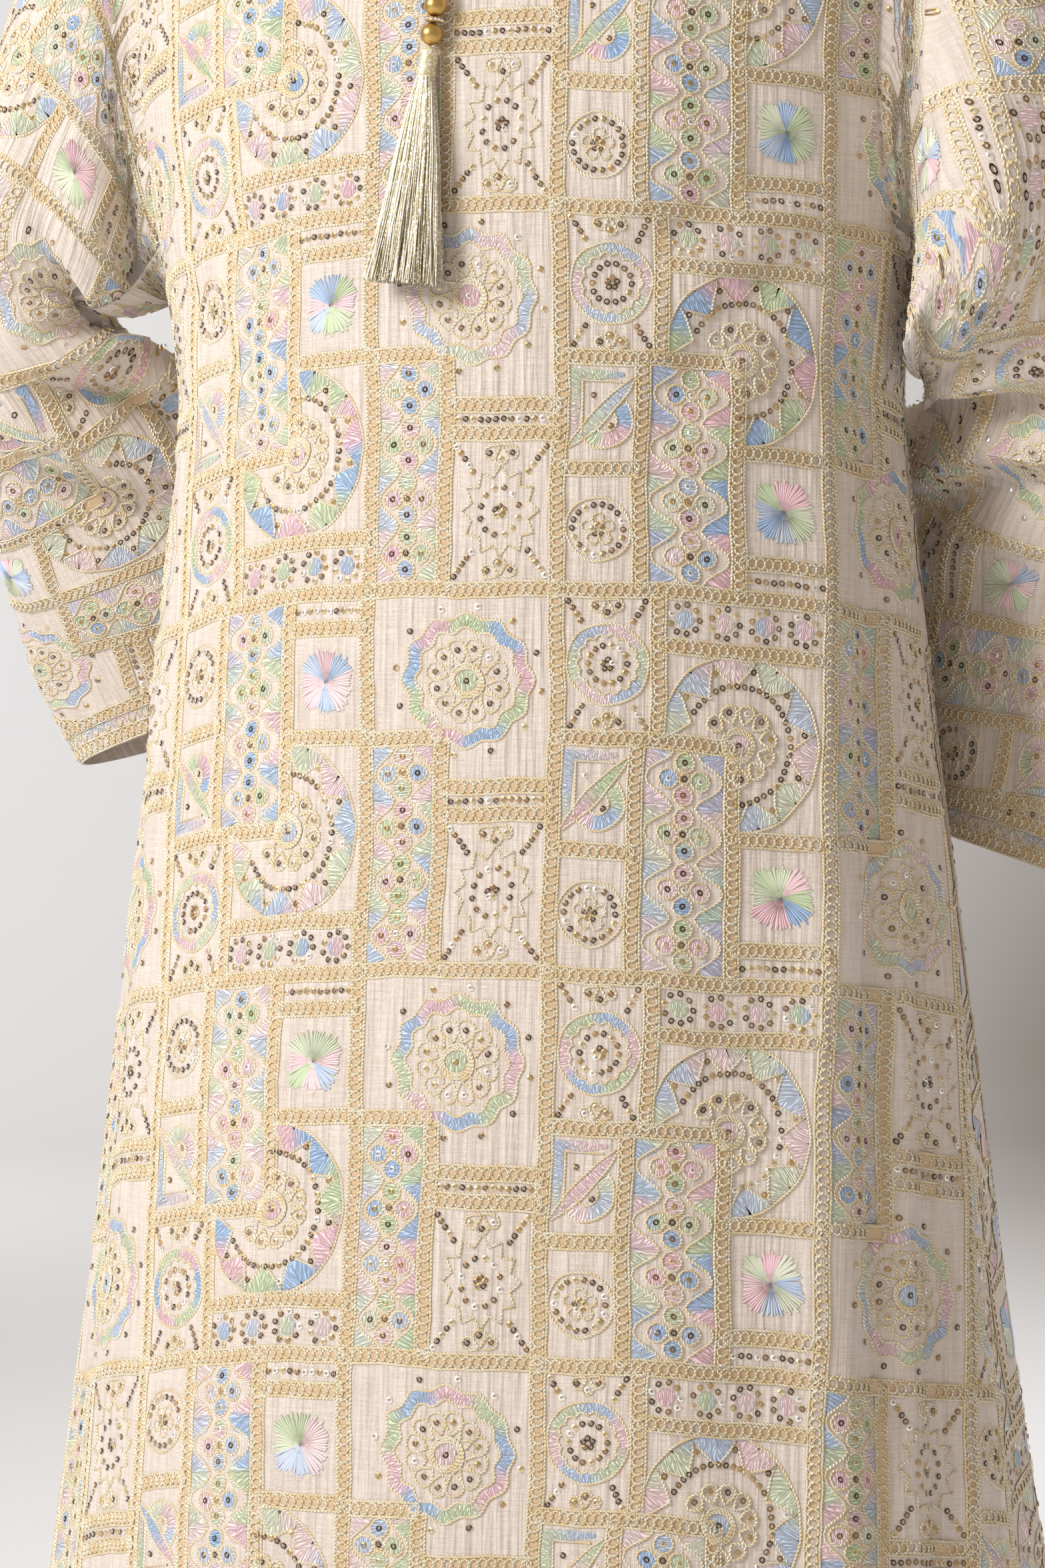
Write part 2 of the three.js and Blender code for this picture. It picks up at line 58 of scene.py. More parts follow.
# %% Camera
AZIMUTH = radians(20)
DISTANCE = 2.6
CAMERA_HEIGHT = -0.634
SIDE_STEP = -0.0091
SENSOR_WIDTH = 36
LENS = 104.7
across_view = np.array([cos(AZIMUTH), sin(AZIMUTH), 0])
towards_camera = np.array([sin(AZIMUTH), -cos(AZIMUTH), 0])
camera = bpy.data.objects.new("camera", bpy.data.cameras.new("camera"))
bpy.context.scene.collection.objects.link(camera)
camera.location = towards_camera * DISTANCE + across_view * SIDE_STEP + [0, 0, CAMERA_HEIGHT]
camera.rotation_euler = (pi / 2, 0, AZIMUTH)
camera.data.sensor_width = SENSOR_WIDTH
camera.data.lens = LENS
bpy.context.scene.camera = camera
print("camera at", [round(x, 3) for x in camera.location])

# %% [markdown]
# ## Shaders as arithmetic
#
# Threads, weave and twist are all stripes and noise laid over one another. They could be painted
# pictures, but a formula stays sharp at any distance. The two small classes below let a shader
# socket be added and multiplied like a number, and any other node be made in one call.


# %% Shader sockets that do arithmetic
class Socket:
    """An output of a shader node; its arithmetic makes Math nodes, so a pattern reads as a formula."""

    def __init__(self, tree, out):
        self.tree = tree
        self.out = out

    def math(self, operation, *others):
        """One Math node on this value and others."""
        node = self.tree.nodes.new("ShaderNodeMath")
        node.operation = operation
        for entry, term in zip(node.inputs, (self, *others)):
            plug(self.tree, entry, term)
        return Socket(self.tree, node.outputs[0])

    def __add__(self, other):
        return self.math("ADD", other)

    def __sub__(self, other):
        return self.math("SUBTRACT", other)

    def __rsub__(self, other):
        return (self * -1) + other

    def __mul__(self, other):
        return self.math("MULTIPLY", other)

    def wave(self):
        """One cosine wave from 0 to 1 for each whole step of the value."""
        return (self * (2 * pi)).math("COSINE") * 0.5 + 0.5

    def over(self, low, high):
        """0 below low and 1 above high, in a straight line between them."""
        return ((self - low) * (1 / (high - low))).math("MINIMUM", 1.0).math("MAXIMUM", 0.0)

    __radd__ = __add__
    __rmul__ = __mul__


def plug(tree, entry, value):
    """Links a socket, or sets a plain value, on one input of a node."""
    if isinstance(value, Socket):
        tree.links.new(value.out, entry)
    else:
        entry.default_value = value


def paint(red, green, blue):
    """A colour written in screen values from 0 to 255, as the linear values that a shader takes."""
    screen = np.array([red, green, blue]) / 255
    linear = np.where(screen <= 0.04045, screen / 12.92, ((screen + 0.055) / 1.055) ** 2.4)
    return (*linear.tolist(), 1.0)


class Finish:
    """A material, its surface and one call that adds any node."""

    def __init__(self, name, **surface):
        self.material = bpy.data.materials.new(name)
        self.material.use_nodes = True
        self.tree = self.material.node_tree
        self.shader = self.tree.nodes["Principled BSDF"]
        self.set(**surface)

    def set(self, **sockets):
        """Sets or links sockets of the surface; an underscore stands for a space."""
        for name, value in sockets.items():
            plug(self.tree, self.shader.inputs[name.replace("_", " ")], value)

    def node(self, kind, settings, sockets, out=0):
        """Any node: its settings come first, then its sockets, and one of its outputs is returned."""
        made = self.tree.nodes.new("ShaderNode" + kind)
        for name, value in settings.items():
            setattr(made, name, value)
        for name, value in sockets.items():
            plug(self.tree, made.inputs[name], value)
        return Socket(self.tree, made.outputs[out])

    def parts(self, vector):
        """The three numbers of a vector."""
        outputs = self.node("SeparateXYZ", {}, {0: vector}).out.node.outputs
        return [Socket(self.tree, out) for out in outputs]

    def flat_place(self):
        """The cloth's or thread's own coordinates, whole and as lengths along and across."""
        place = self.node("UVMap", {"uv_map": "flat"}, {})
        along, across, _ = self.parts(place)
        return place, along, across

    def object_place(self):
        """The place of each point in metres, which is the same for every piece."""
        return self.node("TexCoord", {}, {}, out=3)

    def tint(self):
        """The colour that each thread or sequin carries on its own points."""
        return self.node("Attribute", {"attribute_name": "tint"}, {})

    def noise(self, scale, vector, detail=2.0):
        """Soft noise about 0.5, with so many waves in each whole step of the vector."""
        return self.node("TexNoise", {}, {"Vector": vector, "Scale": scale, "Detail": detail})

    def stretched(self, vector, by):
        """A vector with each of its numbers multiplied."""
        return self.node("VectorMath", {"operation": "MULTIPLY"}, {0: vector, 1: by})

    def blend(self, share, first, second):
        """A colour between two: the first at a share of 0 and the second at 1."""
        return self.node("Mix", {"data_type": "RGBA"}, {0: share, 6: first, 7: second}, out=2)

    def raised(self, height, distance):
        """Bumps, as high in metres as the distance where the height is 1."""
        self.set(Normal=self.node("Bump", {}, {"Height": height, "Distance": distance}))


print("shader tools ready")

# %% [markdown]
# ## What it is made of
#
# The ground is a thin matt cloth of slubbed threads. The bands and outlines are a twisted
# cream-gold cord, the petals are satin stitch in pastel silk, and the rings are metallic sequins.
# The colours were picked from the photograph, and the threads follow each piece's own
# coordinates, so they turn with it.

# %% Cloth
CLOTH = paint(233, 221, 210)
CLOTH_SLUB_AND_PUCKER_SHADE = paint(210, 194, 181)


def cloth_finish():
    """Thick and thin threads both ways, and long shallow puckers down the cloth, with painted shade in
    them.
    """
    finish = Finish("slubbed cloth", Roughness=0.85, Sheen_Weight=0.25)
    place, _, _ = finish.flat_place()
    slubs = finish.noise(1.0, finish.stretched(place, (5.0, 160.0, 1.0)), 3.0)
    threads = finish.noise(1.0, finish.stretched(place, (40.0, 900.0, 1.0)), 1.0)
    puckers = finish.noise(1.0, finish.stretched(place, (26.0, 1.6, 1.0)), 2.0)
    slubs_and_pucker_shade = slubs * 0.4 + threads * 0.25 + puckers * 0.35
    # The darker colour is partly the threads' own uneven tone and partly painted shade in the puckers'
    # hollows.
    finish.set(Base_Color=finish.blend(slubs_and_pucker_shade.over(0.38, 0.58), CLOTH_SLUB_AND_PUCKER_SHADE, CLOTH))
    finish.raised(threads * 0.2 + slubs * 0.15 + puckers * 2.4, 0.0012)
    return finish.material


cloth_material = cloth_finish()
print(cloth_material.name, "ready")

# %% [markdown]
# The cord is two plies twisted together, so it shows slanting stripes of light and dark, painted
# into its colour as shade in the grooves between the plies and along its edges. Under the loops of
# a band little cloth is seen, and what is seen lies in their shade, so each band has a darker
# ground of its own, painted in that shade.

# %% Cord and the ground of a band
CORD_LIGHT = paint(255, 249, 227)
CORD_MIDDLE = paint(247, 228, 184)
CORD_SHADE = paint(182, 140, 84)
SHADED_BAND_GROUND = paint(205, 178, 144)


def cord_finish():
    """A ply of thread as slanting stripes, paler where it lies high, with painted shade in grooves and
    edges.
    """
    finish = Finish("twisted cord", Roughness=0.5, Sheen_Weight=0.3)
    _, along, across = finish.flat_place()
    twist = (along * 48 + across * 0.9).wave()
    tone = finish.noise(160.0, finish.object_place(), 1.0)
    warm = finish.blend(tone.over(0.38, 0.62), CORD_MIDDLE, CORD_LIGHT)
    # Painted shade: the twist's grooves and both edges of the cord are darkened towards the shade
    # colour.
    shaded_edge = (across - 0.5).math("ABSOLUTE").over(0.34, 0.5)
    lit_share = twist.over(-0.1, 0.3) * (1 - shaded_edge * 0.65)
    finish.set(Base_Color=finish.blend(lit_share, CORD_SHADE, warm))
    finish.raised(twist, 0.0005)
    return finish.material


def shaded_ground_finish():
    """The cloth under a band's loops in their painted shade, seen in their gaps, with stitches at its
    edges.
    """
    finish = Finish("shaded ground of a band", Roughness=0.8)
    _, along, across = finish.flat_place()
    off_centre = (across - 0.5).math("ABSOLUTE")
    stitch = (along * 42 + off_centre * 6.0).wave()
    shaded_edge = off_centre.over(0.24, 0.5)
    # Painted shade: the ground is cloth in the loops' shade, and the edge stitches darken it under the
    # ropes.
    finish.set(Base_Color=finish.blend(stitch * shaded_edge, SHADED_BAND_GROUND, CORD_SHADE))
    finish.raised(stitch * shaded_edge, 0.0006)
    return finish.material


cord_material = cord_finish()
shaded_ground_material = shaded_ground_finish()
print(cord_material.name, "and", shaded_ground_material.name, "ready")

# %% [markdown]
# Satin stitch is floss laid side by side, so it has a soft sheen and fine stripes across each
# patch, with painted shade in the gaps between the threads. The silks and the metals of the
# sequins change from one stitched patch to the next, and some sequins are near white as painted
# glints. A colour kept on the mesh carries that with two materials in place of dozens.

# %% Silk, sequins and gold
SILK_SHADE = paint(206, 200, 198)
GOLD = paint(201, 165, 98)


def satin_finish():
    """Fine silk stripes side by side that waver a little, in each patch's colour, with painted shade
    between.
    """
    finish = Finish("satin stitch", Roughness=0.45, Sheen_Weight=0.3)
    place, along, _ = finish.flat_place()
    tint = finish.tint()
    wander = finish.noise(1.0, finish.stretched(place, (70.0, 1.6, 1.0)), 1.0)
    threads = (along * 96 + wander * 2.6).wave()
    shade = finish.node("Mix", {"data_type": "RGBA", "blend_type": "MULTIPLY"},
                        {0: 1.0, 6: tint, 7: SILK_SHADE}, out=2)
    # Painted shade: the gaps between the threads are darkened with the silk's shade colour.
    finish.set(Base_Color=finish.blend(threads.over(0.0, 0.55), shade, tint))
    finish.raised(threads + wander, 0.0005)
    return finish.material


def sequin_finish():
    """Smooth metal foil in each sequin's own colour; the near-white ones are painted glints."""
    finish = Finish("sequin", Roughness=0.32, Metallic=0.8)
    finish.set(Base_Color=finish.tint())
    return finish.material


def gold_finish():
    """Matt plating, a little rougher in fine specks."""
    finish = Finish("satin gold", Metallic=0.95, Base_Color=GOLD)
    scuffs = finish.noise(900.0, finish.object_place(), 2.0)
    finish.set(Roughness=scuffs * 0.2 + 0.26)
    return finish.material


satin_material = satin_finish()
sequin_material = sequin_finish()
gold_material = gold_finish()
print(satin_material.name + ",", sequin_material.name, "and", gold_material.name, "ready")

# %% [markdown]
# The tassel's threads are wound with thin metal, and its glints are painted into their colour as
# short pale flecks. The stones in its rings are clear, and at this size they read as small points of
# dark and light, painted into their colour as reflections off facets, which is cheaper than glass.
# The paper behind darkens to one side, where the light falls off.

# %% Tassel, stones and paper
THREAD_GLINT = paint(252, 244, 236)
STONE_DARK_REFLECTION = paint(178, 176, 180)
STONE_GLINT = paint(255, 255, 255)
PAPER_LIGHT = paint(247, 249, 253)
PAPER_SHADE = paint(158, 150, 143)


def tassel_finish():
    """Each strand's own colour with pale flecks of painted glint on its metal."""
    finish = Finish("metallic tassel thread", Roughness=0.38, Metallic=0.35)
    glint_flecks = finish.noise(800.0, finish.object_place(), 1.0)
    # Painted glints: the flecks turn each strand's colour near white.
    finish.set(Base_Color=finish.blend(glint_flecks.over(0.5, 0.62), finish.tint(), THREAD_GLINT))
    return finish.material


def stone_finish():
    """Hard bright and dark points, painted as reflections off facets."""
    finish = Finish("cut clear stone", Roughness=0.08, Metallic=0.55)
    facet_glints = finish.noise(1400.0, finish.object_place(), 0.0)
    # Painted reflections: bright and dark points in place of light off the facets.
    finish.set(Base_Color=finish.blend(facet_glints.over(0.4, 0.6), STONE_DARK_REFLECTION, STONE_GLINT))
    return finish.material


def paper_finish():
    """Pale paper that darkens towards the camera's lower right, away from the light."""
    finish = Finish("studio paper", Roughness=0.9)
    x, y, height = finish.parts(finish.object_place())
    aside = x * cos(AZIMUTH) + y * sin(AZIMUTH)
    beyond = y * cos(AZIMUTH) - x * sin(AZIMUTH)
    shaded = aside.over(0.4, 1.25) * (height * -1).over(0.1, 1.2) * beyond.over(2.5, 5.5)
    finish.set(Base_Color=finish.blend(shaded, PAPER_LIGHT, PAPER_SHADE))
    return finish.material


tassel_material = tassel_finish()
stone_material = stone_finish()
floor_material = paper_finish()
print(len(bpy.data.materials), "materials")

# %% [markdown]
# ## Meshes from arrays
#
# Every piece below is worked out as whole arrays of points and then handed to Blender at once.
# Modelling by hand or by modifiers would do for one flower, but not for the thousands of loops of
# cord that cover this cloth.

# %% Arrays to objects
FLAT_STEP = 100


def make_object(name, points, quads, material, flat=None, tint=None, smooth=True):
    """An object from points in millimetres and quads; a fourth corner of -1 marks a triangle.
    Flat coordinates count whole steps of FLAT_STEP millimetres on the cloth or thread."""
    mesh = bpy.data.meshes.new(name)
    points = np.asarray(points, float).reshape(-1, 3) * MM
    quads = np.asarray(quads, int)
    sizes = np.where(quads[:, 3] < 0, 3, 4)
    corners = quads.reshape(-1)
    corners = corners[corners >= 0]
    mesh.vertices.add(len(points))
    mesh.vertices.foreach_set("co", points.ravel())
    mesh.loops.add(len(corners))
    mesh.loops.foreach_set("vertex_index", corners)
    mesh.polygons.add(len(quads))
    mesh.polygons.foreach_set("loop_start", np.cumsum(sizes) - sizes)
    mesh.polygons.foreach_set("use_smooth", np.full(len(quads), smooth))
    mesh.update(calc_edges=True)
    if flat is not None:
        layer = mesh.uv_layers.new(name="flat")
        layer.data.foreach_set("uv", np.asarray(flat, float)[corners].ravel())
    if tint is not None:
        colour = mesh.color_attributes.new("tint", "FLOAT_COLOR", "POINT")
        opaque = np.column_stack([tint, np.ones(len(tint))])
        colour.data.foreach_set("color", opaque.astype(np.float32).ravel())
    mesh.materials.append(material)
    mesh.validate()
    obj = bpy.data.objects.new(name, mesh)
    bpy.context.scene.collection.objects.link(obj)
    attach(obj, "root")
    return obj


def unit(vectors):
    """The same vectors with length 1."""
    return vectors / np.maximum(np.linalg.norm(vectors, axis=-1, keepdims=True), 1e-9)


def run_along(path):
    """How far along a path each of its points lies."""
    return np.cumsum(np.linalg.norm(np.diff(path, axis=0, prepend=path[:1]), axis=1))


def tube(path, radius, sides):
    """Points, quads and flat coordinates of a round tube along a path; radius may vary along it."""
    path = np.asarray(path, float)
    along = unit(np.gradient(path, axis=0))
    side = unit(np.cross(along, [0.0, 1.0, 0.13]))
    front = np.cross(side, along)
    turn = np.linspace(0, 2 * pi, sides, endpoint=False)
    ring = np.cos(turn)[:, None] * side[:, None] + np.sin(turn)[:, None] * front[:, None]
    points = path[:, None] + ring * np.broadcast_to(radius, len(path))[:, None, None]
    index = np.arange(len(path) * sides).reshape(len(path), sides)
    turned = np.roll(index, -1, 1)
    quads = np.stack([index[:-1], index[1:], turned[1:], turned[:-1]], -1).reshape(-1, 4)
    flat = np.stack(np.broadcast_arrays(run_along(path)[:, None] / FLAT_STEP, turn / (2 * pi)), -1)
    return points.reshape(-1, 3), quads, flat.reshape(-1, 2)


def joined(parts):
    """Several lots of points, quads and flat coordinates as one."""
    starts = np.cumsum([0] + [len(points) for points, _, _ in parts[:-1]])
    quads = [np.where(quads < 0, -1, quads + start) for (_, quads, _), start in zip(parts, starts)]
    return (
        np.concatenate([points for points, _, _ in parts]),
        np.concatenate(quads),
        np.concatenate([flat for _, _, flat in parts]),
    )


print("mesh tools ready")

# %% [markdown]
# ## The tassel's cord
#
# A thin two-strand cord falls from the neckline's front into the upper ring. A curve with a bevel
# would be smooth, so two helical strands are wound round the route instead, which shows the twist.

# %% Cord
CORD_ROUTE = [
    (0, -135.9, -97), (0, -138.3, -104), (0, -140.6, -112), (0, -142.7, -120),
    (0, -144.6, -128), (0, -146.3, -136), (0, -148.0, -144), (0, -149.6, -152),
    (0, -151.2, -160), (0, -152.7, -168), (0, -154.2, -176), (0, -155.7, -184),
    (0, -157.1, -192), (0, -158.4, -199), (0, -159.6, -206),
]
CORD_DIAMETER = 2.0
TWIST_PITCH = 5.0
STRAND_STEP = 0.6
route = np.array(CORD_ROUTE, float)


def twisted_cord(path, diameter, pitch):
    """Two strands wound round a path as helices, each a little over half the cord's thickness."""
    run = run_along(path)
    even = np.linspace(0, run[-1], int(run[-1] / STRAND_STEP))
    middle = np.stack([np.interp(even, run, path[:, k]) for k in range(3)], -1)
    turn = 2 * pi * even / pitch
    strands = []
    for start in (0, pi):
        off = np.stack([np.cos(turn + start), np.sin(turn + start), 0 * turn], -1)
        strands.append(tube(middle + off * diameter / 4, diameter / 3.6, 6))
    return joined(strands)


cord_points, cord_quads, cord_flat = twisted_cord(route, CORD_DIAMETER, TWIST_PITCH)
tassel_cord = make_object("twisted_cord", cord_points, cord_quads, cord_material, cord_flat)
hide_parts("tassel_cord")

# %% [markdown]
# ## The form of the body
#
# The body is two panels, front and back, over an oval that widens to the hem. The shoulders round
# over, the armholes cut the ovals' ends off, and soft flutes fall from the hips. The formulas are
# the frame's own, so the cloth lies on its solids; they are only worked out on a finer grid.

# %% Sizes of the body
SEAM_GAP = 0.3
ARMHOLE_GAP = 0.5
SHOULDER_REACH = 222.0
NECK_HALF_WIDTH = 88.0
NECK_DROP = {"front": 105.0, "back": 22.0}
NECK_RISE = 20.0
SHOULDER_SLOPE = 58.0
SLOPE_POWER = 1.8
CAP_DROP = {"front": 165.0, "back": 120.0}
ARMHOLE_WIDEST_DROP = 194.0
UNDERARM_DROP = 348.0
ARMHOLE_OPENNESS = 0.443
HEM_DROP = 1310.0

# Drop, half width, half depth to the front, half depth to the back
SECTIONS = np.array([
    (0, 247.6, 138, 112), (165, 247.6, 146, 118), (240, 240, 152, 120), (348, 220, 152, 122),
    (411, 212, 152, 125), (456, 215, 153, 129), (608, 231, 160, 150), (724, 245, 168, 162),
    (858, 259, 180, 178), (992, 275, 192, 192), (1081, 287, 199, 202), (1310, 311, 216, 222),
], float)
COLUMN = {"width": 1, "front": 2, "back": 3}

# Angle at the start and at the hem in degrees from the front centre, height, spread, start
FLUTES = [
    (62, 50, 10, 7, 400), (75, 61, -11, 6, 480), (86, 73, 9, 6, 560), (98, 86, -9, 7, 560),
    (112, 101, 10, 7, 520), (126, 117, -9, 8, 600), (141, 134, 9, 8, 560), (157, 152, -8, 8, 640),
    (173, 170, 9, 9, 600), (190, 188, -8, 8, 620), (206, 205, 10, 8, 560), (222, 223, -9, 8, 620),
    (238, 241, 9, 8, 560), (252, 257, -9, 7, 600), (266, 272, 9, 7, 560), (278, 286, -9, 6, 540),
    (290, 299, 8, 6, 520), (304, 312, -6, 7, 620), (334, 336, 4, 11, 700), (14, 14, -4, 10, 760),
    (34, 31, 4, 9, 700),
]


def smooth(t, span, values, slopes):
    """A cubic through two values with a slope at each, at a share t of the span between them."""
    start = (2 * t**3 - 3 * t**2 + 1) * values[0] + (t**3 - 2 * t**2 + t) * span * slopes[0]
    return start + (3 * t**2 - 2 * t**3) * values[1] + (t**3 - t**2) * span * slopes[1]


def section(name, drop):
    """A column of SECTIONS at a drop, on a smooth cubic through the rows."""
    drops = SECTIONS[:, 0]
    values = SECTIONS[:, COLUMN[name]]
    slopes = np.empty(len(drops))
    slopes[1:-1] = (values[2:] - values[:-2]) / (drops[2:] - drops[:-2])
    slopes[[0, -1]] = (values[[1, -1]] - values[[0, -2]]) / (drops[[1, -1]] - drops[[0, -2]])
    k = np.clip(np.searchsorted(drops, drop), 1, len(drops) - 1)
    span = drops[k] - drops[k - 1]
    pair = [k - 1, k]
    return smooth((drop - drops[k - 1]) / span, span, values[pair], slopes[pair])


def edge_angle(drop, depth):
    """The angle on that oval where the panel ends, at its armhole or its side seam."""
    below = np.clip((drop - ARMHOLE_WIDEST_DROP) / (UNDERARM_DROP - ARMHOLE_WIDEST_DROP), 0, 1)
    share = np.where(drop >= UNDERARM_DROP, 0, np.sqrt(1 - below**2))
    return np.arccos(ARMHOLE_OPENNESS * share) - np.where(share == 0, SEAM_GAP / 2 / depth, 0)


def flute_height(angle, drop):
    """All flutes at an angle in degrees and a drop: each grows down its own slanting line."""
    height = np.zeros(np.broadcast(angle, drop).shape)
    for top, hem, size, spread, start in FLUTES:
        t = np.clip((drop - start) / (HEM_DROP - start), 0, None)
        off = (angle - (top + (hem - top) * t) + 180) % 360 - 180
        height += size * t**1.2 * np.exp(-((off / spread) ** 2))
    return height


def running_length(face, drop):
    """A drop as an angle while the shoulder rounds over, and then in equal proportion."""
    cap = CAP_DROP[face]
    return np.where(drop < cap, np.arccos(np.clip(1 - drop / cap, -1, 1)), pi / 2 + (drop - cap) / cap)


def drop_at(face, t):
    """The drop at a running length."""
    cap = CAP_DROP[face]
    return np.where(t < pi / 2, cap * (1 - np.cos(t)), cap * (1 + t - pi / 2))


def body_points(face, across, t):
    """The middle of the cloth at an angle across and a running length: a point on the oval, lifted
    by the shoulder's slope, and pushed out by the flutes along the oval's normal."""
    drop = drop_at(face, t)
    forward = -1 if face == "front" else 1
    a = section("width", drop)
    b = section(face, drop) * np.where(t < pi / 2, np.sin(t), 1)
    x = a * np.sin(across)
    fade = np.clip(1 - drop / UNDERARM_DROP, 0, None) ** 2
    rise = NECK_RISE - SHOULDER_SLOPE * (np.abs(x) / SHOULDER_REACH) ** SLOPE_POWER
    angle = np.degrees(across if face == "front" else pi - across)
    height = flute_height(angle, drop)
    out = unit(np.stack([np.sin(across) / a, np.cos(across) / np.maximum(b, 1)], -1))
    return np.stack([
        x + out[..., 0] * height,
        forward * (b * np.cos(across) + out[..., 1] * height),
        -drop + rise * fade,
    ], -1)


print("body is", 2 * SECTIONS[0, 1], "mm wide at the top and", 2 * SECTIONS[-1, 1], "at the hem")

# %% [markdown]
# ## Cloth that knows where it is flat
#
# Embroidery is drawn on flat cloth and then worn. So each piece of cloth keeps two things for
# every point of its grid: where it is in space, and where it was on the flat cut. A motif drawn in
# flat millimetres is carried over by finding its place in that grid. A shrink-wrap modifier would
# also lay threads on a form, but it would stretch the pattern round the folds.

# %% Cloth grids
CLOTH_HALF = 0.6
LEVEL_STEP = 4.0


class Cloth:
    """A grid of points with their normals and flat coordinates, p across and q down the cloth."""

    def __init__(self, name, points, p, q):
        self.name = name
        self.points = points
        self.p = p
        self.q = q
        self.turn_normals()

    def turn_normals(self):
        """Unit normals from the grid's own steps, all facing away from the inside."""
        down, across = np.gradient(self.points, axis=(0, 1))
        self.normals = unit(np.cross(down, across))

    def flip(self):
        """Turns the normals over, with the grid's columns in the opposite order."""
        self.points = self.points[:, ::-1]
        self.p = -self.p[:, ::-1]
        self.q = self.q[:, ::-1]
        self.turn_normals()

    def relief(self, creases):
        """Pushes the cloth out or in along soft lines on it. A crease is a line from one flat
        place to another that bows sideways, and dies away at both ends."""
        height = np.zeros(self.p.shape)
        for p0, q0, p1, q1, bow, spread, size in creases:
            length = np.hypot(p1 - p0, q1 - q0)
            ahead = np.array([(p1 - p0) / length, (q1 - q0) / length])
            along = ((self.p - p0) * ahead[0] + (self.q - q0) * ahead[1]) / length
            aside = (self.q - q0) * ahead[0] - (self.p - p0) * ahead[1]
            inside = np.clip(along, 0, 1)
            aside = aside - bow * np.sin(pi * inside)
            past = (along - inside) * length
            fade = np.sin(pi * (0.08 + 0.84 * inside)) ** 0.8
            height += size * fade * np.exp(-((aside / spread) ** 2) - (past / (spread * 1.6)) ** 2)
        self.points = self.points + self.normals * height[..., None]
        self.turn_normals()

    def at(self, grid, row, column):
        """A grid's values at fractional rows and columns, in straight lines between its points."""
        i = np.clip(row.astype(int), 0, grid.shape[0] - 2)
        j = np.clip(column.astype(int), 0, grid.shape[1] - 2)
        r = (row - i).reshape(row.shape + (1,) * (grid.ndim - 2))
        c = (column - j).reshape(row.shape + (1,) * (grid.ndim - 2))
        top = grid[i, j] * (1 - c) + grid[i, j + 1] * c
        low = grid[i + 1, j] * (1 - c) + grid[i + 1, j + 1] * c
        return top * (1 - r) + low * r

    def find(self, p, q):
        """Fractional row and column of flat places: a first guess by proportion and by a table
        of each column's rows, then Newton steps on the grid's flat coordinates."""
        rows, columns = self.p.shape
        levels = np.arange(self.q.min(), self.q.max(), LEVEL_STEP)
        table = np.stack([np.interp(levels, self.q[:, j], np.arange(rows)) for j in range(columns)], 1)
        level = np.clip((q - levels[0]) / LEVEL_STEP, 0, len(levels) - 1)
        column = np.full(p.shape, (columns - 1) / 2)
        for _ in range(3):
            row = self.at(table, level, column)
            left = np.interp(row, np.arange(rows), self.p[:, 0])
            right = np.interp(row, np.arange(rows), self.p[:, -1])
            column = np.clip((p - left) / (right - left), 0, 1) * (columns - 1)
        row = self.at(table, level, column)
        for _ in range(6):
            row = np.clip(row, 0, rows - 1)
            column = np.clip(column, 0, columns - 1)
            off_p = p - self.at(self.p, row, column)
            off_q = q - self.at(self.q, row, column)
            low_row = np.clip(row - 0.5, 0, rows - 1)
            high_row = np.clip(row + 0.5, 0, rows - 1)
            low_column = np.clip(column - 0.5, 0, columns - 1)
            high_column = np.clip(column + 0.5, 0, columns - 1)
            d_row = high_row - low_row
            d_column = high_column - low_column
            p_row, q_row = (
                (self.at(grid, high_row, column) - self.at(grid, low_row, column)) / d_row
                for grid in (self.p, self.q))
            p_column, q_column = (
                (self.at(grid, row, high_column) - self.at(grid, row, low_column)) / d_column
                for grid in (self.p, self.q))
            size = p_column * q_row - p_row * q_column
            size = np.where(np.abs(size) < 1e-6, 1e-6, size)
            column = column + (off_p * q_row - off_q * p_row) / size
            row = row + (off_q * p_column - off_p * q_column) / size
        row = np.clip(row, 0, rows - 1)
        column = np.clip(column, 0, columns - 1)
        miss = np.hypot(p - self.at(self.p, row, column), q - self.at(self.q, row, column))
        return row, column, miss

    def place(self, p, q, height):
        """Points in space at flat places and heights above the cloth, and how far off it they are."""
        row, column, miss = self.find(p, q)
        lifted = self.at(self.points, row, column)
        lifted = lifted + self.at(self.normals, row, column) * (height + CLOTH_HALF)[:, None]
        return lifted, miss

    def shell(self, material, wrapped=False):
        """The cloth as a closed wall, one layer on each side of the grid and a rim at its edges."""
        rows, columns = self.p.shape
        if wrapped:
            columns -= 1
        index = np.arange(rows * columns).reshape(rows, columns)
        right = np.roll(index, -1, 1) if wrapped else index[:, 1:]
        left = index if wrapped else index[:, :-1]
        outer = np.stack([left[:-1], left[1:], right[1:], right[:-1]], -1).reshape(-1, 4)
        under = rows * columns
        rims = [np.stack([left[0], right[0], right[0] + under, left[0] + under], -1)]
        rims.append(np.stack([right[-1], left[-1], left[-1] + under, right[-1] + under], -1))
        if not wrapped:
            for edge, step in ((index[:, 0], -1), (index[:, -1], 1)):
                first, second = (edge[:-1], edge[1:])[::step]
                rims.append(np.stack([first, second, second + under, first + under], -1))
        layers = [self.points[:, :columns] + side * CLOTH_HALF * self.normals[:, :columns]
                  for side in (1, -1)]
        flat = np.stack([self.p[:, :columns], self.q[:, :columns]], -1).reshape(-1, 2)
        made = make_object(
            self.name, np.concatenate([layer.reshape(-1, 3) for layer in layers]),
            np.concatenate([outer, outer[:, ::-1] + under, *rims]), material,
            np.concatenate([flat, flat]) / FLAT_STEP,
        )
        made.data.set_sharp_from_angle(angle=radians(50))
        return made


print("cloth is", 2 * CLOTH_HALF, "mm thick here")

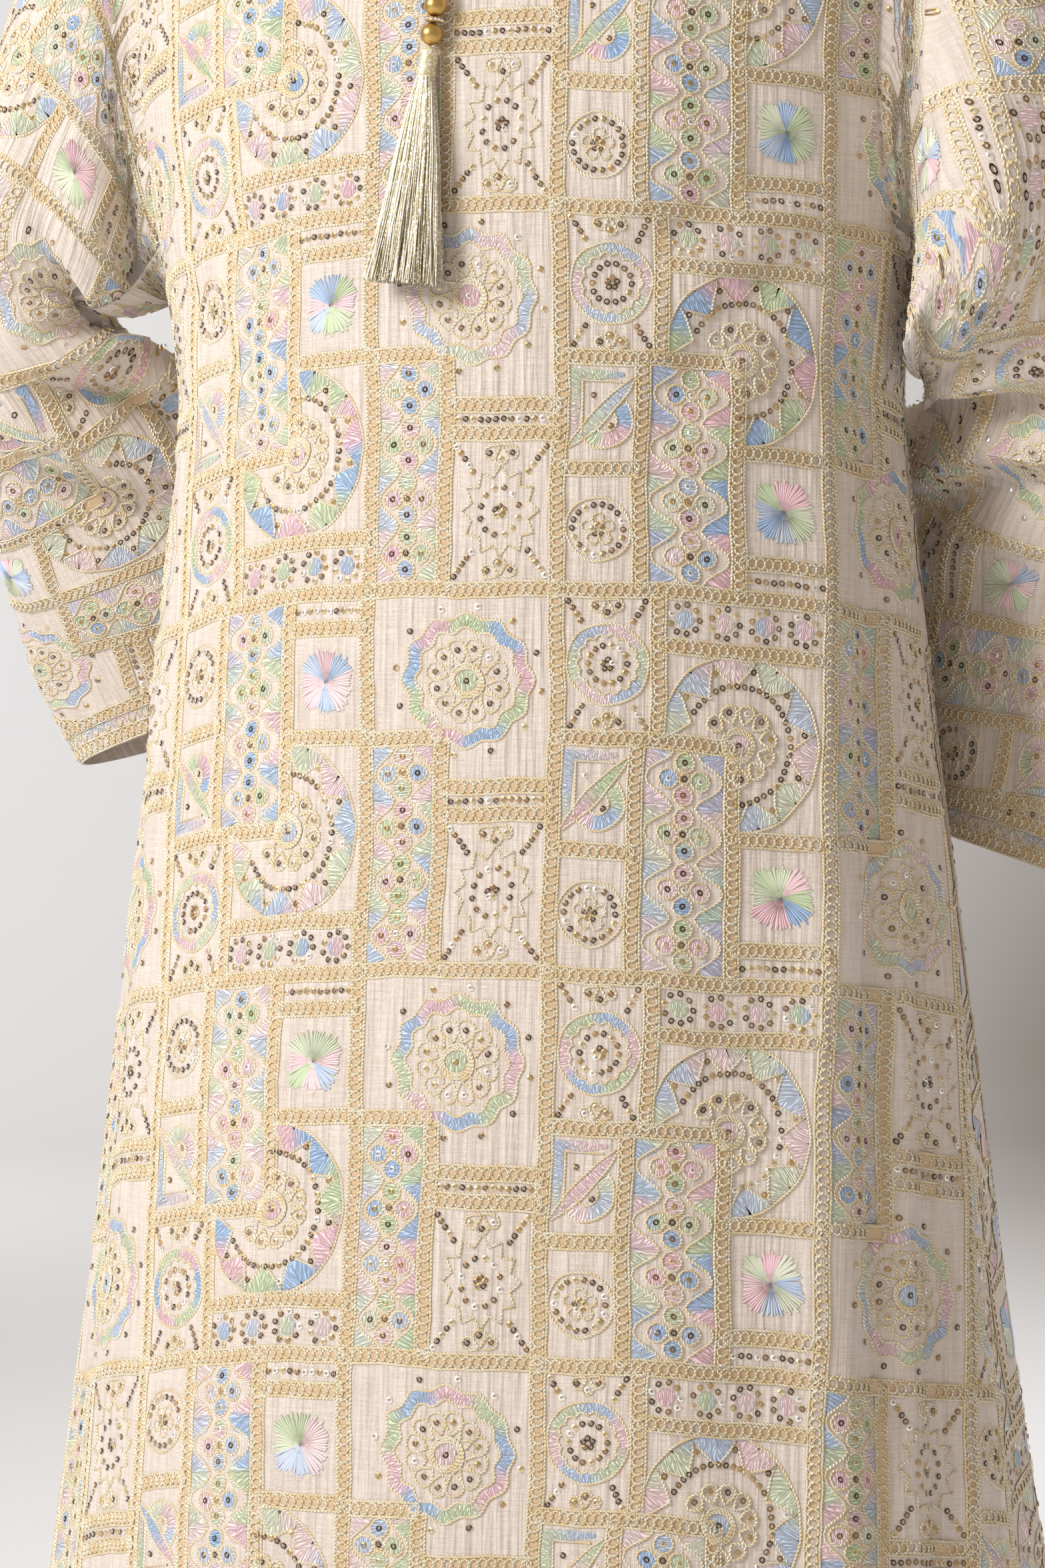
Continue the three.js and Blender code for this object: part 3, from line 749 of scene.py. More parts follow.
# %% [markdown]
# ## Front and back panels
#
# Each panel's grid runs from the shoulder seam and neckline to the hem. On top of the flutes come
# the folds that a photograph shows and a simple solid leaves out: a long ridge down the wearer's
# left side with narrow ripples beyond it, drag lines from the underarms, and soft hollows at the
# waist. A cloth simulation would find folds of its own, so these are placed one by one.

# %% Panels
CELL = {"front": 8.5, "back": 10.5}
EVEN_DROP = 323.0
MEASURED_ANGLE = 0.45
# Lengths of curves over their straight sizes: half a panel's hem, the shoulder, the armhole
HEM_CURVE = 1.3
CAP_CURVE = 1.7
ARMHOLE_CURVE = 1.3

# From p, q to p, q in flat millimetres, bow, half width and height of each crease
FRONT_CREASES = [
    (216, 330, 236, 1300, 10, 17, 6), (246, 420, 268, 1300, 8, 11, -7),
    (262, 500, 300, 1290, 6, 9, 5), (150, 560, 176, 1300, -8, 26, -3),
    (-208, 380, -262, 1300, -10, 18, 4), (-244, 430, -300, 1290, -8, 12, -5),
    (-92, 700, -120, 1300, -6, 30, 3), (60, 820, 76, 1300, 5, 30, -3),
    (200, 300, 90, 380, 10, 16, -4), (206, 342, 120, 452, 12, 14, -4),
    (-204, 300, -96, 372, -10, 16, -4), (-208, 340, -120, 448, -12, 14, -4),
    (150, 120, 110, 300, 8, 22, 4), (-150, 120, -112, 300, -8, 22, 4),
    (-262, 480, -210, 640, 6, 13, 4), (250, 620, 210, 760, -6, 12, 3),
]
BACK_CREASES = [
    (-170, 280, -60, 360, 10, 17, -4), (170, 280, 60, 360, -10, 17, -4),
    (0, 120, 4, 520, 6, 34, -6), (-120, 420, -140, 1290, 10, 22, 4),
    (120, 440, 146, 1290, -8, 24, 4), (40, 560, 30, 1290, 8, 20, -4),
    (-200, 520, -230, 1290, 6, 15, -4), (208, 500, 236, 1290, -8, 14, 4),
]


def flat_down(face, t):
    """Flat length down the cloth at a running length, measured along one line of the panel and
    set so that it equals the drop at one level well below the shoulder."""
    fine = np.linspace(0.02, running_length(face, HEM_DROP), 900)
    run = run_along(body_points(face, np.full(fine.shape, MEASURED_ANGLE), fine))
    level = np.interp(EVEN_DROP, drop_at(face, fine), run)
    return np.interp(t, fine, run - level + EVEN_DROP)


def panel(face, creases):
    """The cloth of a body panel, on the frame's own rows and columns made finer."""
    top_depth = section(face, 0)
    top_edge = edge_angle(0, top_depth)
    half_columns = int(SECTIONS[-1, 1] * HEM_CURVE / CELL[face])
    shares = np.linspace(-1, 1, 2 * half_columns + 1)
    x = section("width", 0) * np.sin(shares * top_edge)
    in_neck = np.clip(1 - (x / NECK_HALF_WIDTH) ** 2, 0, None)
    seam = np.arcsin(SEAM_GAP / 2 / (top_depth * np.cos(shares * top_edge)))
    start = np.maximum(seam, running_length(face, NECK_DROP[face] * np.sqrt(in_neck)))
    cap_rows = int(CAP_DROP[face] * CAP_CURVE / CELL[face])
    curve = UNDERARM_DROP - ARMHOLE_WIDEST_DROP
    arm_rows = int(curve * ARMHOLE_CURVE / CELL[face])
    skirt_rows = int((HEM_DROP - UNDERARM_DROP) / CELL[face])
    drops = np.concatenate([
        drop_at(face, np.linspace(0, running_length(face, ARMHOLE_WIDEST_DROP), cap_rows)[:-1]),
        ARMHOLE_WIDEST_DROP + curve * np.sin(np.linspace(0, pi / 2, arm_rows)),
        np.linspace(UNDERARM_DROP, HEM_DROP, skirt_rows + 1)[1:],
    ])
    even = running_length(face, drops)[:, None]
    level = running_length(face, ARMHOLE_WIDEST_DROP)
    t = np.where(even < level, start + even * (1 - start / level), even)
    drop = drop_at(face, t)
    across = shares * edge_angle(drop, section(face, drop))
    points = body_points(face, across, t)
    steps = np.linalg.norm(np.diff(points, axis=1), axis=2)
    run = np.concatenate([np.zeros((len(points), 1)), np.cumsum(steps, axis=1)], 1)
    p = run - run[:, half_columns:half_columns + 1]
    cloth = Cloth(face + "_cloth", points, p, flat_down(face, t))
    if face == "back":
        cloth.flip()
    cloth.relief(creases)
    return cloth


front = panel("front", FRONT_CREASES)
back = panel("back", BACK_CREASES)
for cloth in (front, back):
    facing = (cloth.normals * cloth.points)[..., :2].sum(-1)
    print(cloth.name, cloth.p.shape, "hem", round(cloth.p[-1, -1] - cloth.p[-1, 0]), "mm wide,",
          round(float((facing > 0).mean()), 2), "of it faces away from the body's middle")

# %% [markdown]
# ## Sleeves
#
# The sleeves are wide tubes, bent at the elbows towards the front of the hips. Each is a run of
# ovals from the armhole to the cuff. Between the frame's ovals a smooth curve is drawn, and the
# crook of the elbow gets the deep soft folds of bent cloth.

# %% Sleeve sections
# The oval's inner end, its outer end (x outwards from the body) and its half depth
RIGHT_SLEEVE = [
    (229, 2, -349, 243, 2, -52, 66), (239, 0, -353, 272, 4, -84, 70),
    (250, -6, -357, 302, 6, -130, 72), (262, -14, -359, 326, 8, -180, 71),
    (270, -21, -357, 346, 12, -225, 67), (276, -25, -352, 364, 18, -268, 61),
    (280, -26, -349, 378, 26, -308, 56), (282, -22, -351, 386, 36, -350, 54),
    (278, -10, -359, 389, 46, -395, 55), (265, 14, -373, 387, 54, -435, 57),
    (240, 48, -389, 382, 62, -470, 57), (207, 88, -414, 375, 70, -508, 54),
    (180, 118, -448, 366, 78, -543, 50), (163, 137, -486, 356, 86, -574, 48),
    (156, 147, -526, 345, 94, -600, 47), (155, 152, -562, 334, 100, -622, 46),
]
LEFT_SLEEVE = [
    (229, 2, -350, 243, 2, -52, 66), (230, -6, -368, 272, 4, -84, 72),
    (228, -14, -384, 302, 6, -130, 75), (225, -19, -396, 328, 8, -185, 76),
    (223, -22, -404, 350, 12, -235, 73), (225, -12, -410, 370, 18, -285, 67),
    (226, 8, -412, 386, 26, -330, 60), (221, 32, -413, 396, 36, -372, 61),
    (211, 58, -414, 400, 44, -412, 63), (198, 82, -416, 402, 50, -452, 63),
    (187, 101, -422, 401, 56, -490, 61), (180, 115, -436, 399, 60, -527, 58),
    (177, 126, -458, 396, 64, -562, 54), (178, 134, -494, 391, 68, -604, 50),
    (181, 139, -548, 385, 71, -644, 50), (187, 142, -604, 380, 73, -680, 50),
    (195, 143, -654, 374, 75, -714, 50),
]
EVEN_BY_RING = 6
FRAME_RING_POINTS = 26
SLEEVE_COLUMNS = 64
SLEEVE_CELL = 9.0

# Around, along, around, along in flat millimetres, bow, half width, height
RIGHT_CREASES = [
    (165, 226, 214, 296, -8, 14, -16), (108, 262, 196, 258, 8, 13, 7),
    (128, 284, 190, 376, -8, 13, 14), (122, 318, 180, 404, -8, 10, -14),
    (88, 306, 158, 412, 8, 12, 9), (74, 334, 146, 438, 8, 11, -9),
    (150, 120, 236, 214, 10, 20, 6), (120, 150, 190, 236, 10, 15, -5),
    (230, 120, 262, 230, 6, 14, -6), (20, 120, 110, 190, 14, 24, -4),
    (60, 430, 130, 480, 10, 22, 5), (0, 380, 60, 520, 10, 22, -4),
    (-150, 190, -260, 280, -12, 15, -8), (-120, 240, -240, 320, -10, 14, 7),
    (-140, 300, -230, 350, 8, 12, -7), (-30, 120, -150, 200, 12, 22, 4),
]
LEFT_CREASES = [
    (-196, 352, -90, 286, -10, 13, 11), (-214, 380, -96, 318, -10, 12, -16),
    (-204, 406, -90, 350, -8, 11, 12), (-200, 428, -96, 382, -8, 12, -11),
    (-190, 452, -80, 420, -8, 16, 6), (-150, 130, -196, 300, 12, 18, -6),
    (-100, 120, -150, 280, 10, 20, 6), (-60, 200, -110, 330, 12, 16, -5),
    (-176, 500, -120, 640, 10, 22, 5), (-120, 470, -60, 640, 10, 20, -5),
    (-40, 420, -10, 660, 8, 24, 4), (150, 200, 250, 300, 12, 15, -8),
    (120, 260, 240, 340, 10, 14, 7), (140, 320, 230, 380, -8, 12, -7),
    (30, 120, 150, 220, -12, 22, 4),
]


def armhole_edge(side):
    """Both panels' edges round an armhole as one line, from the shoulder down the front and up
    the back, with the angle of each point on an oval of that height."""
    rows = int(np.argmin(np.abs(front.points[:, 0, 2] + UNDERARM_DROP)))
    back_rows = int(np.argmin(np.abs(back.points[:, 0, 2] + UNDERARM_DROP)))
    down = front.points[:rows + 1, -1 if side > 0 else 0]
    up = back.points[:back_rows + 1, 0 if side > 0 else -1][::-1]
    top, low = down[0, 2], down[-1, 2]
    half = (top - low) / 2

    def turn(z):
        return np.arccos(np.clip((z - top + half) / half, -1, 1))

    line = np.concatenate([down, up])
    angles = np.concatenate([turn(down[:, 2]), 2 * pi - turn(up[:, 2])])
    centre = np.array([side * SHOULDER_REACH, 0, -ARMHOLE_WIDEST_DROP])
    line = line + unit(centre - line) * ARMHOLE_GAP
    return line, np.maximum.accumulate(angles)


def unrolled(points):
    """Flat coordinates of a tube whose rings slant: q is how far along the tube's middle line a
    point lies, and p is the rest of each step round a ring, counted from the shoulder's line."""
    middle = points[:, :-1].mean(axis=1)
    axis = unit(np.gradient(middle, axis=0))
    run = run_along(middle)
    q = run[:, None] + ((points - middle[:, None]) * axis[:, None]).sum(-1)
    least = 0.2 * run[-1] / len(run)
    q = np.concatenate([q[:1], q[:1] + np.cumsum(np.maximum(np.diff(q, axis=0), least), axis=0)])
    steps = np.linalg.norm(np.diff(points, axis=1), axis=2)
    across = np.sqrt(np.maximum(steps**2 - np.diff(q, axis=1) ** 2, (0.3 * steps) ** 2))
    around = np.concatenate([np.zeros((len(points), 1)), np.cumsum(across, axis=1)], 1)
    half = points.shape[1] // 2
    return around - around[:, half:half + 1], q - q.min()


def sleeve(name, table, side, creases):
    """The cloth of a sleeve, from its armhole through the ovals of its table. Columns run round
    it from the underarm seam over the front and the shoulder's line and back to the seam."""
    line, angles = armhole_edge(side)
    share = np.linspace(0.5, 1.5, SLEEVE_COLUMNS + 1) % 1.0
    share[-1] = 0.5
    frame_share = np.arange(FRAME_RING_POINTS + 1) / FRAME_RING_POINTS
    frame_turn = np.interp(frame_share, np.linspace(0, 1, len(angles)), angles)
    frame_turn[-1] = 2 * pi
    start = np.interp(share, frame_share, frame_turn)
    even = 2 * pi * share
    first = np.stack([np.interp(start, angles, line[:, k]) for k in range(3)], -1)
    rings = [first]
    for k, row in enumerate(table):
        inner = np.array(row[0:3], float) * [side, 1, 1]
        outer = np.array(row[3:6], float) * [side, 1, 1]
        centre = (inner + outer) / 2
        long = outer - centre
        axis = unit(long)
        deep = unit(np.array([0, -1, 0]) + axis * axis[1])
        blend = min(1, (k + 1) / EVEN_BY_RING)
        angle = start * (1 - blend) + even * blend
        rings.append(centre + np.cos(angle)[:, None] * long
                     + np.sin(angle)[:, None] * deep * row[6])
    rings = np.array(rings)
    steps = np.linalg.norm(np.diff(rings, axis=0), axis=2)
    run = np.concatenate([[0], np.cumsum(steps.mean(axis=1))])
    slope = np.gradient(rings, run, axis=0)
    fine = np.linspace(0, run[-1], int(run[-1] / SLEEVE_CELL) + 1)
    k = np.clip(np.searchsorted(run, fine, side="right"), 1, len(run) - 1)
    span = (run[k] - run[k - 1])[:, None, None]
    t = (fine - run[k - 1])[:, None, None] / span
    points = smooth(t, span, rings[[k - 1, k]], slope[[k - 1, k]])
    p, q = unrolled(points)
    cloth = Cloth(name, points, p, q)
    outwards = points - points[:, :-1].mean(axis=1, keepdims=True)
    if (cloth.normals * outwards).sum() < 0:
        cloth.flip()
    cloth.relief(creases)
    return cloth


right_sleeve = sleeve("right_sleeve_cloth", RIGHT_SLEEVE, -1, RIGHT_CREASES)
left_sleeve = sleeve("left_sleeve_cloth", LEFT_SLEEVE, 1, LEFT_CREASES)
for cloth in (right_sleeve, left_sleeve):
    girth = cloth.p[:, -1] - cloth.p[:, 0]
    print(cloth.name, cloth.p.shape, "length", round(cloth.q.max()), "girth", round(girth[0]),
          "to", round(girth[-1]))

# %% [markdown]
# ## Drawing with thread
#
# Every stitch here is a ribbon laid along a line on the flat cloth, low at its edges and raised
# along its middle, so it shades like a round cord for few faces. A ribbon whose width changes
# makes a satin petal or a triangle. Real curves with bevels would be rounder and far heavier.

# %% Ribbons of thread and rings of metal
SEQUIN_RADIUS = 1.75
SEQUIN_HOLE = 1.0
FINE_SIDES = 7
PLAIN_SIDES = 6


class Needlework:
    """Embroidery on flat cloth in millimetres, u to the right and v down, gathered by kind."""

    KINDS = ("chain", "cord", "satin", "edging", "sequin")

    def __init__(self, loop_sides, rounded):
        self.loop_sides = loop_sides
        self.rounded = rounded
        self.parts = {kind: [] for kind in self.KINDS}
        self.numbers = 0

    def add(self, kind, place, height, flat, hue, rings=False, together=False):
        """Keeps one batch of grids, shaped batch, along, across, as vertices and quads. Each
        grid has a number that its colour is drawn by, or the batch has one together."""
        index = np.arange(place[..., 0].size).reshape(place.shape[:-1])
        ahead = index[:, 1:]
        behind = index[:, :-1]
        if rings:
            quads = np.stack([index[:, 0], index[:, 1], np.roll(index[:, 1], -1, -1),
                              np.roll(index[:, 0], -1, -1)], -1)
        else:
            quads = np.stack([behind[..., :-1], ahead[..., :-1], ahead[..., 1:],
                              behind[..., 1:]], -1)
        shape = place.shape[:-1]
        number = np.arange(shape[0]) * (0 if together else 1) + self.numbers
        number = number.reshape((-1,) + (1,) * (len(shape) - 1))
        self.numbers += shape[0]
        self.parts[kind].append({
            "place": place.reshape(-1, 2),
            "height": np.broadcast_to(height, shape).ravel(),
            "flat": np.broadcast_to(flat, shape + (2,)).reshape(-1, 2),
            "hue": np.broadcast_to(hue, shape).ravel(),
            "number": np.broadcast_to(number, shape).ravel(),
            "quads": quads.reshape(-1, 4),
        })

    def ribbon(self, kind, path, half, base, crest, closed=False, hue=0.0, lengthwise=False,
               together=False):
        """A ribbon, or a batch of like ones, along paths of batch by points by 2. Half width,
        base, crest and hue are one value, or one for each point. Lengthwise turns its threads
        to run along it instead of across."""
        path = np.asarray(path, float)
        path = path[None] if path.ndim == 2 else path
        tangent = np.roll(path, -1, 1) - np.roll(path, 1, 1) if closed else np.gradient(path, axis=1)
        values = [np.broadcast_to(value, path.shape[:2]) for value in (half, base, crest, hue)]
        if closed:
            path, tangent = [np.concatenate([grid, grid[:, :1]], 1) for grid in (path, tangent)]
            values = [np.concatenate([grid, grid[:, :1]], 1) for grid in values]
        half, base, crest, hue = [grid[..., None] for grid in values]
        across = np.array([-1, 0, 1] if self.rounded and kind != "edging" else [-1, 1])
        lift = 1 - np.abs(across) if len(across) == 3 else 0.5
        tangent = unit(tangent)
        side = np.stack([tangent[..., 1], -tangent[..., 0]], -1)[:, :, None]
        place = path[:, :, None] + (half * across)[..., None] * side
        run = np.cumsum(np.linalg.norm(np.diff(path, axis=1, prepend=path[:, :1]), axis=2), 1)
        run = run[..., None] / FLAT_STEP
        if lengthwise:
            flat = np.stack(np.broadcast_arrays(half * across / FLAT_STEP, run), -1)
        else:
            flat = np.stack(np.broadcast_arrays(run, (across + 1) / 2), -1)
        self.add(kind, place, base + (crest - base) * lift, flat, hue, together=together)

    def sequins(self, centres):
        """Small metal rings, each a shallow cone with a wide hole and a lean of its own."""
        centres = np.asarray(centres, float).reshape(-1, 1, 1, 2)
        sides = FINE_SIDES if self.rounded else PLAIN_SIDES
        turn = np.linspace(0, 2 * pi, sides, endpoint=False)
        circle = np.stack([np.cos(turn), np.sin(turn)], -1)
        radii = np.array([SEQUIN_HOLE, SEQUIN_RADIUS])[:, None, None]
        place = centres + radii * circle
        lean = chance.normal(0, 0.1, (len(centres), 1, 1, 2))
        rim = np.array([1.05, 0.75])[:, None]
        height = rim + ((place - centres) * lean).sum(-1)
        self.add("sequin", place, height, np.zeros(2), 0.0, rings=True)

    def merged(self, kind):
        """All batches of one kind as one set of arrays."""
        parts = self.parts[kind]
        starts = np.cumsum([0] + [len(part["height"]) for part in parts[:-1]])
        whole = {name: np.concatenate([part[name] for part in parts]) for name in parts[0]}
        whole["quads"] = np.concatenate(
            [part["quads"] + start for part, start in zip(parts, starts)])
        return whole


print("a sequin is", 2 * SEQUIN_RADIUS, "mm across")

# %% [markdown]
# The motifs are drawn with a few plain lines: a straight run, an arc, and a teardrop loop that is
# turned and copied round a centre, as a stitcher repeats one loop for each petal.

# %% Lines to stitch along
SEQUIN_PITCH = 4.3


def straight(start, end, count):
    """Evenly spaced points on a straight line."""
    share = np.linspace(0, 1, count)[:, None]
    return np.array(start, float) * (1 - share) + np.array(end, float) * share


def arc(centre, radius, start, sweep, count, ends=True):
    """Points on an arc; angles in degrees turn from the right towards down, as v runs down."""
    turn = np.radians(start + sweep * np.linspace(0, 1, count, endpoint=ends))
    return np.array(centre) + np.stack([radius * np.cos(turn), radius * np.sin(turn)], -1)


def teardrop(length, width, count=10):
    """A closed loop with its root at the origin and its round end along u."""
    turn = np.linspace(0, 2 * pi, count, endpoint=False)
    return np.stack([length * (1 - np.cos(turn)) / 2,
                     width * 0.65 * np.sin(turn) * np.sin(turn / 2)], -1)


def around(shape, centre, radius, angles):
    """Copies of a shape, each pushed out from a centre and turned to its own angle in degrees."""
    turn = np.radians(np.asarray(angles, float))[:, None]
    u = shape[:, 0] + radius
    v = shape[:, 1]
    return np.array(centre) + np.stack(
        [u * np.cos(turn) - v * np.sin(turn), u * np.sin(turn) + v * np.cos(turn)], -1)


def ring_of(centre, radius, angles):
    """Single points round a centre at angles in degrees."""
    return around(np.zeros((1, 2)), centre, radius, angles)[:, 0]


def row_of(start, end, pitch=SEQUIN_PITCH):
    """Evenly spaced centres near a pitch along a straight line."""
    length = np.hypot(end[0] - start[0], end[1] - start[1])
    return straight(start, end, int(round(length / pitch)) + 1)


print("needlework ready")

# %% [markdown]
# ## The motifs
#
# The patchwork is one unit of cells between chain bands, repeated over the whole garment: a
# rosette, a large sun, a small rosette, two lattice columns of four-petalled flowers, a starburst,
# a fan, a pinwheel, rings and rows of sequins. Each motif is a short formula, charted in
# millimetres. None of them is traced, and small changes from unit to unit come from chance.
#
# The bands between the cells come first. Each is a chain of thick loops between two ropes.

# %% Outlines and bands
LOOP_PITCH = 4.7
LOOP_ALONG = 2.5
LOOP_ACROSS = 3.0
LOOP_HALF = 0.75
CORD_HALF = 0.75
BAND_HALF = 4.7
ROPE_OFFSET = 3.95


def outline(work, path, closed=False):
    """One cord along a path."""
    work.ribbon("cord", path, CORD_HALF, 0.1, 1.15, closed)


def ladder(work, u0, v0, u1, v1):
    """A band of chained loops, each lying over the one before, between two ropes of thread."""
    start, end = np.array([u0, v0], float), np.array([u1, v1], float)
    length = np.hypot(*(end - start))
    ahead = (end - start) / length
    aside = np.array([-ahead[1], ahead[0]])
    count = max(2, int(round(length / LOOP_PITCH)))
    turn = np.linspace(0, 2 * pi, work.loop_sides, endpoint=False)
    along = ((np.arange(count) + 0.5) / count * length)[:, None] + LOOP_ALONG * np.cos(turn)
    beside = np.broadcast_to(LOOP_ACROSS * np.sin(turn), along.shape)
    path = start + along[..., None] * ahead + beside[..., None] * aside
    low = 0.35 + 0.35 * np.cos(turn)
    work.ribbon("chain", path, LOOP_HALF, low, low + 1.0, closed=True)
    middle = straight(start, end, max(2, int(length / 10)))
    # A flat strip under the loops, coloured as the cloth in their painted shade.
    work.ribbon("edging", middle, BAND_HALF, 0.14, 0.14)
    for side in (-ROPE_OFFSET, ROPE_OFFSET):
        work.ribbon("cord", middle + side * aside, CORD_HALF, 0.2, 1.3)


print("a band is", 2 * BAND_HALF, "mm wide, with a loop every", LOOP_PITCH, "mm")

# %% [markdown]
# A lattice column is a row of flowers, each of four round silk petals ringed with cord. The half
# diamonds at its sides are one long ribbon whose width rises and falls, which is far lighter than
# a shape for each.

# %% Lattice columns
PETAL_REACH = 8.7
PETAL_RADIUS = 4.7
PETAL_RIM = 5.3
EYE_RIM = 3.0
THINNEST = 0.15


def discs(work, centres, radius, angle, hue):
    """Round satin patches, each a ribbon along one angle as wide as the circle is there."""
    share = np.linspace(-0.96, 0.96, 5)
    turn = np.radians(np.broadcast_to(angle, len(centres)))[:, None]
    path = np.asarray(centres, float)[:, None] + radius * np.stack(
        [share * np.cos(turn), share * np.sin(turn)], -1)
    half = radius * np.sqrt(1 - share**2)
    hues = np.reshape(hue, (-1, 1)) + 0.3 * share
    work.ribbon("satin", path, half, 0.2, 0.6, hue=hues)


def lattice(work, u0, v0, u1, v1, cells):
    """A column of flowers between two waving cords, with satin half diamonds at the sides. The
    half diamonds reach a third of the way in, as a cosine that is widest between two flowers."""
    pitch = (v1 - v0) / cells
    v = np.linspace(v0, v1, cells * 8 + 1)
    step = (v - v0) / pitch
    wave = (0.5 + 0.5 * np.cos(2 * pi * step)) ** 1.2
    reach = np.maximum(0.34 * (u1 - u0) * wave, THINNEST)
    for edge, inwards, first in ((u0, 1, 0), (u1, -1, 1)):
        outline(work, np.stack([edge + inwards * (reach + 0.7), v], -1))
        hue = first + np.round(step) + 0.5 * np.sign(np.sin(2 * pi * step))
        work.ribbon("satin", np.stack([edge + inwards * reach / 2, v], -1), reach / 2, 0.2, 0.5,
                    hue=hue)
    middle = (u0 + u1) / 2
    angles = np.array([0, 90, 180, 270])
    for k in range(cells):
        centre = np.array([middle, v0 + (k + 0.5) * pitch])
        petals = ring_of(centre, PETAL_REACH, angles)
        discs(work, petals, PETAL_RADIUS, angles, k + np.array([0, 1, 2, 1]))
        rims = around(arc((0, 0), PETAL_RIM, 0, 360, 9, False), centre, PETAL_REACH, angles)
        outline(work, rims, True)
        outline(work, arc(centre, EYE_RIM, 0, 360, 7, False), True)
        work.sequins(np.concatenate([petals, [centre]]))


print("lattice ready")

# %% [markdown]
# The rosette is the largest round flower. Round its eye a cord is wound loosely a few times, then
# come twelve petals, and then a waving satin band between two cords.

# %% Rosette
def winding(work, centre, inner, outer, turns):
    """Loose turns of cord wound round an eye: a spiral that wavers and climbs a little."""
    share = np.linspace(0, 1, int(turns * 14))
    turn = 2 * pi * turns * share
    radius = inner + (outer - inner) * share + 0.35 * np.sin(2.3 * turn)
    path = np.array(centre) + radius[:, None] * np.stack([np.cos(turn), np.sin(turn)], -1)
    work.ribbon("cord", path, CORD_HALF, 0.2 + 0.4 * share, 1.0 + 0.4 * share)


def rosette(work, u, v):
    """A large flower: an eye, windings, twelve looped petals and a waving satin band, whose
    radius is a circle's plus a cosine with a wave for each petal."""
    centre = (u, v)
    petal_count = 12
    petal_root, petal_sequin = 10.6, 17.6
    band_radius, band_half, band_wave = 31.6, 3.4, 1.5
    outer_sequins = 40.6
    discs(work, [centre], 6.0, 0, 0.0)
    winding(work, centre, 6.4, 9.8, 3.2)
    petals = (np.arange(petal_count) + 0.5) * 360 / petal_count
    outline(work, around(teardrop(12.4, 10.0), centre, petal_root, petals), True)
    work.sequins(np.concatenate([[centre], ring_of(centre, petal_sequin, petals)]))
    count = 6 * petal_count
    turn = np.linspace(0, 2 * pi, count, endpoint=False)
    radius = band_radius + band_wave * np.cos(petal_count * turn)
    work.ribbon("satin", arc(centre, radius, 0, 360, count, False), band_half, 0.2, 0.6, True,
                hue=turn / (2 * pi) * 9)
    for edge in (band_half + 0.5, -band_half - 0.5):
        outline(work, arc(centre, radius + edge, 0, 360, count, False), True)
    outer = np.array([10, 40, 70, 100, 160, 190, 220, 250, 280, 310, 340])
    work.sequins(ring_of(centre, outer_sequins, outer))


print("rosette ready")

# %% [markdown]
# The star and the small rosette fill tall cells. Both have five sequins in the middle, looped
# petals above and below, and short rows of sequins that run in from the corners, so those three
# are functions of their own.

# %% Star and small rosette
DIAGONAL_PITCH = 4.1
FIRST_STEP = 1.5


def cluster(work, centre):
    """Five sequins close together."""
    work.sequins(arc(centre, 2.6, -90, 360, 5, False))


def trefoils(work, centre, reach, size):
    """Three looped petals above a centre and three below, each with a sequin."""
    for root, angle in (((centre[0], centre[1] - reach), 90), ((centre[0], centre[1] + reach), -90)):
        angles = angle + np.array([-58, 0, 58])
        outline(work, around(teardrop(size, size * 0.72, 9), root, 0.6, angles), True)
        work.sequins(ring_of(root, size * 0.75, angles))


def corner_rows(work, box, centre, count):
    """Short diagonal rows of sequins from the corners of a cell towards its middle."""
    u0, v0, u1, v1 = box
    for corner in ((u0, v0), (u1, v0), (u0, v1), (u1, v1)):
        inwards = np.array(centre) - corner
        inwards = inwards / np.hypot(*inwards)
        steps = np.arange(count)[:, None] * DIAGONAL_PITCH + FIRST_STEP
        work.sequins(np.array(corner, float) + inwards * steps)


def starburst(work, u, v):
    """A pointed ring of cord with sequins in it, trefoils above and below, and corner rows. The
    ring's radius is a circle's plus a sharpened cosine with a wave for each of twelve points."""
    points = 12
    inner, spikes = 15.6, 5.0
    half_width, half_height = 26, 36
    count = 4 * points
    spike = 0.5 + 0.5 * np.cos(np.arange(count) / 4 * 2 * pi)
    ring = arc((0, 0), inner + spikes * spike**1.3, 0, 360, count, False)
    outline(work, ring * [1.05, 1.2] + [u, v], True)
    work.sequins(arc((0, 0), 10.8, 15, 360, points, False) * [1.0, 1.2] + [u, v])
    cluster(work, (u, v))
    trefoils(work, (u, v), 35.5, 10)
    box = (u - half_width, v - half_height, u + half_width, v + half_height)
    corner_rows(work, box, (u, v), 5)


def small_rosette(work, u, v):
    """A round satin band with a scalloped inner edge, sequins inside, trefoils, corner rows."""
    centre = (u, v)
    outer_cord, outer_silk, sequin_ring = 21.9, 21.2, 10.4
    count = 56
    turn = np.linspace(0, 2 * pi, count, endpoint=False)
    scallops = 14.6 + 2.0 * np.abs(np.cos(7 * turn))
    outline(work, arc(centre, outer_cord, 0, 360, 40, False), True)
    outline(work, arc(centre, scallops, 0, 360, count, False), True)
    work.ribbon("satin", arc(centre, (outer_silk + scallops) / 2, 0, 360, count, False),
                (outer_silk - scallops) / 2, 0.2, 0.55, True, hue=turn / (2 * pi) * 6 + 1)
    work.sequins(arc(centre, sequin_ring, 0, 360, 14, False))
    cluster(work, centre)
    trefoils(work, centre, 35, 9)
    corner_rows(work, (u - 21, v - 35, u + 21, v + 35), centre, 4)


print("star and small rosette ready")

# %% [markdown]
# The sun goes three quarters of the way round a corner where two bands meet. Its rays are one
# ribbon again, whose depth rises and falls eight times.

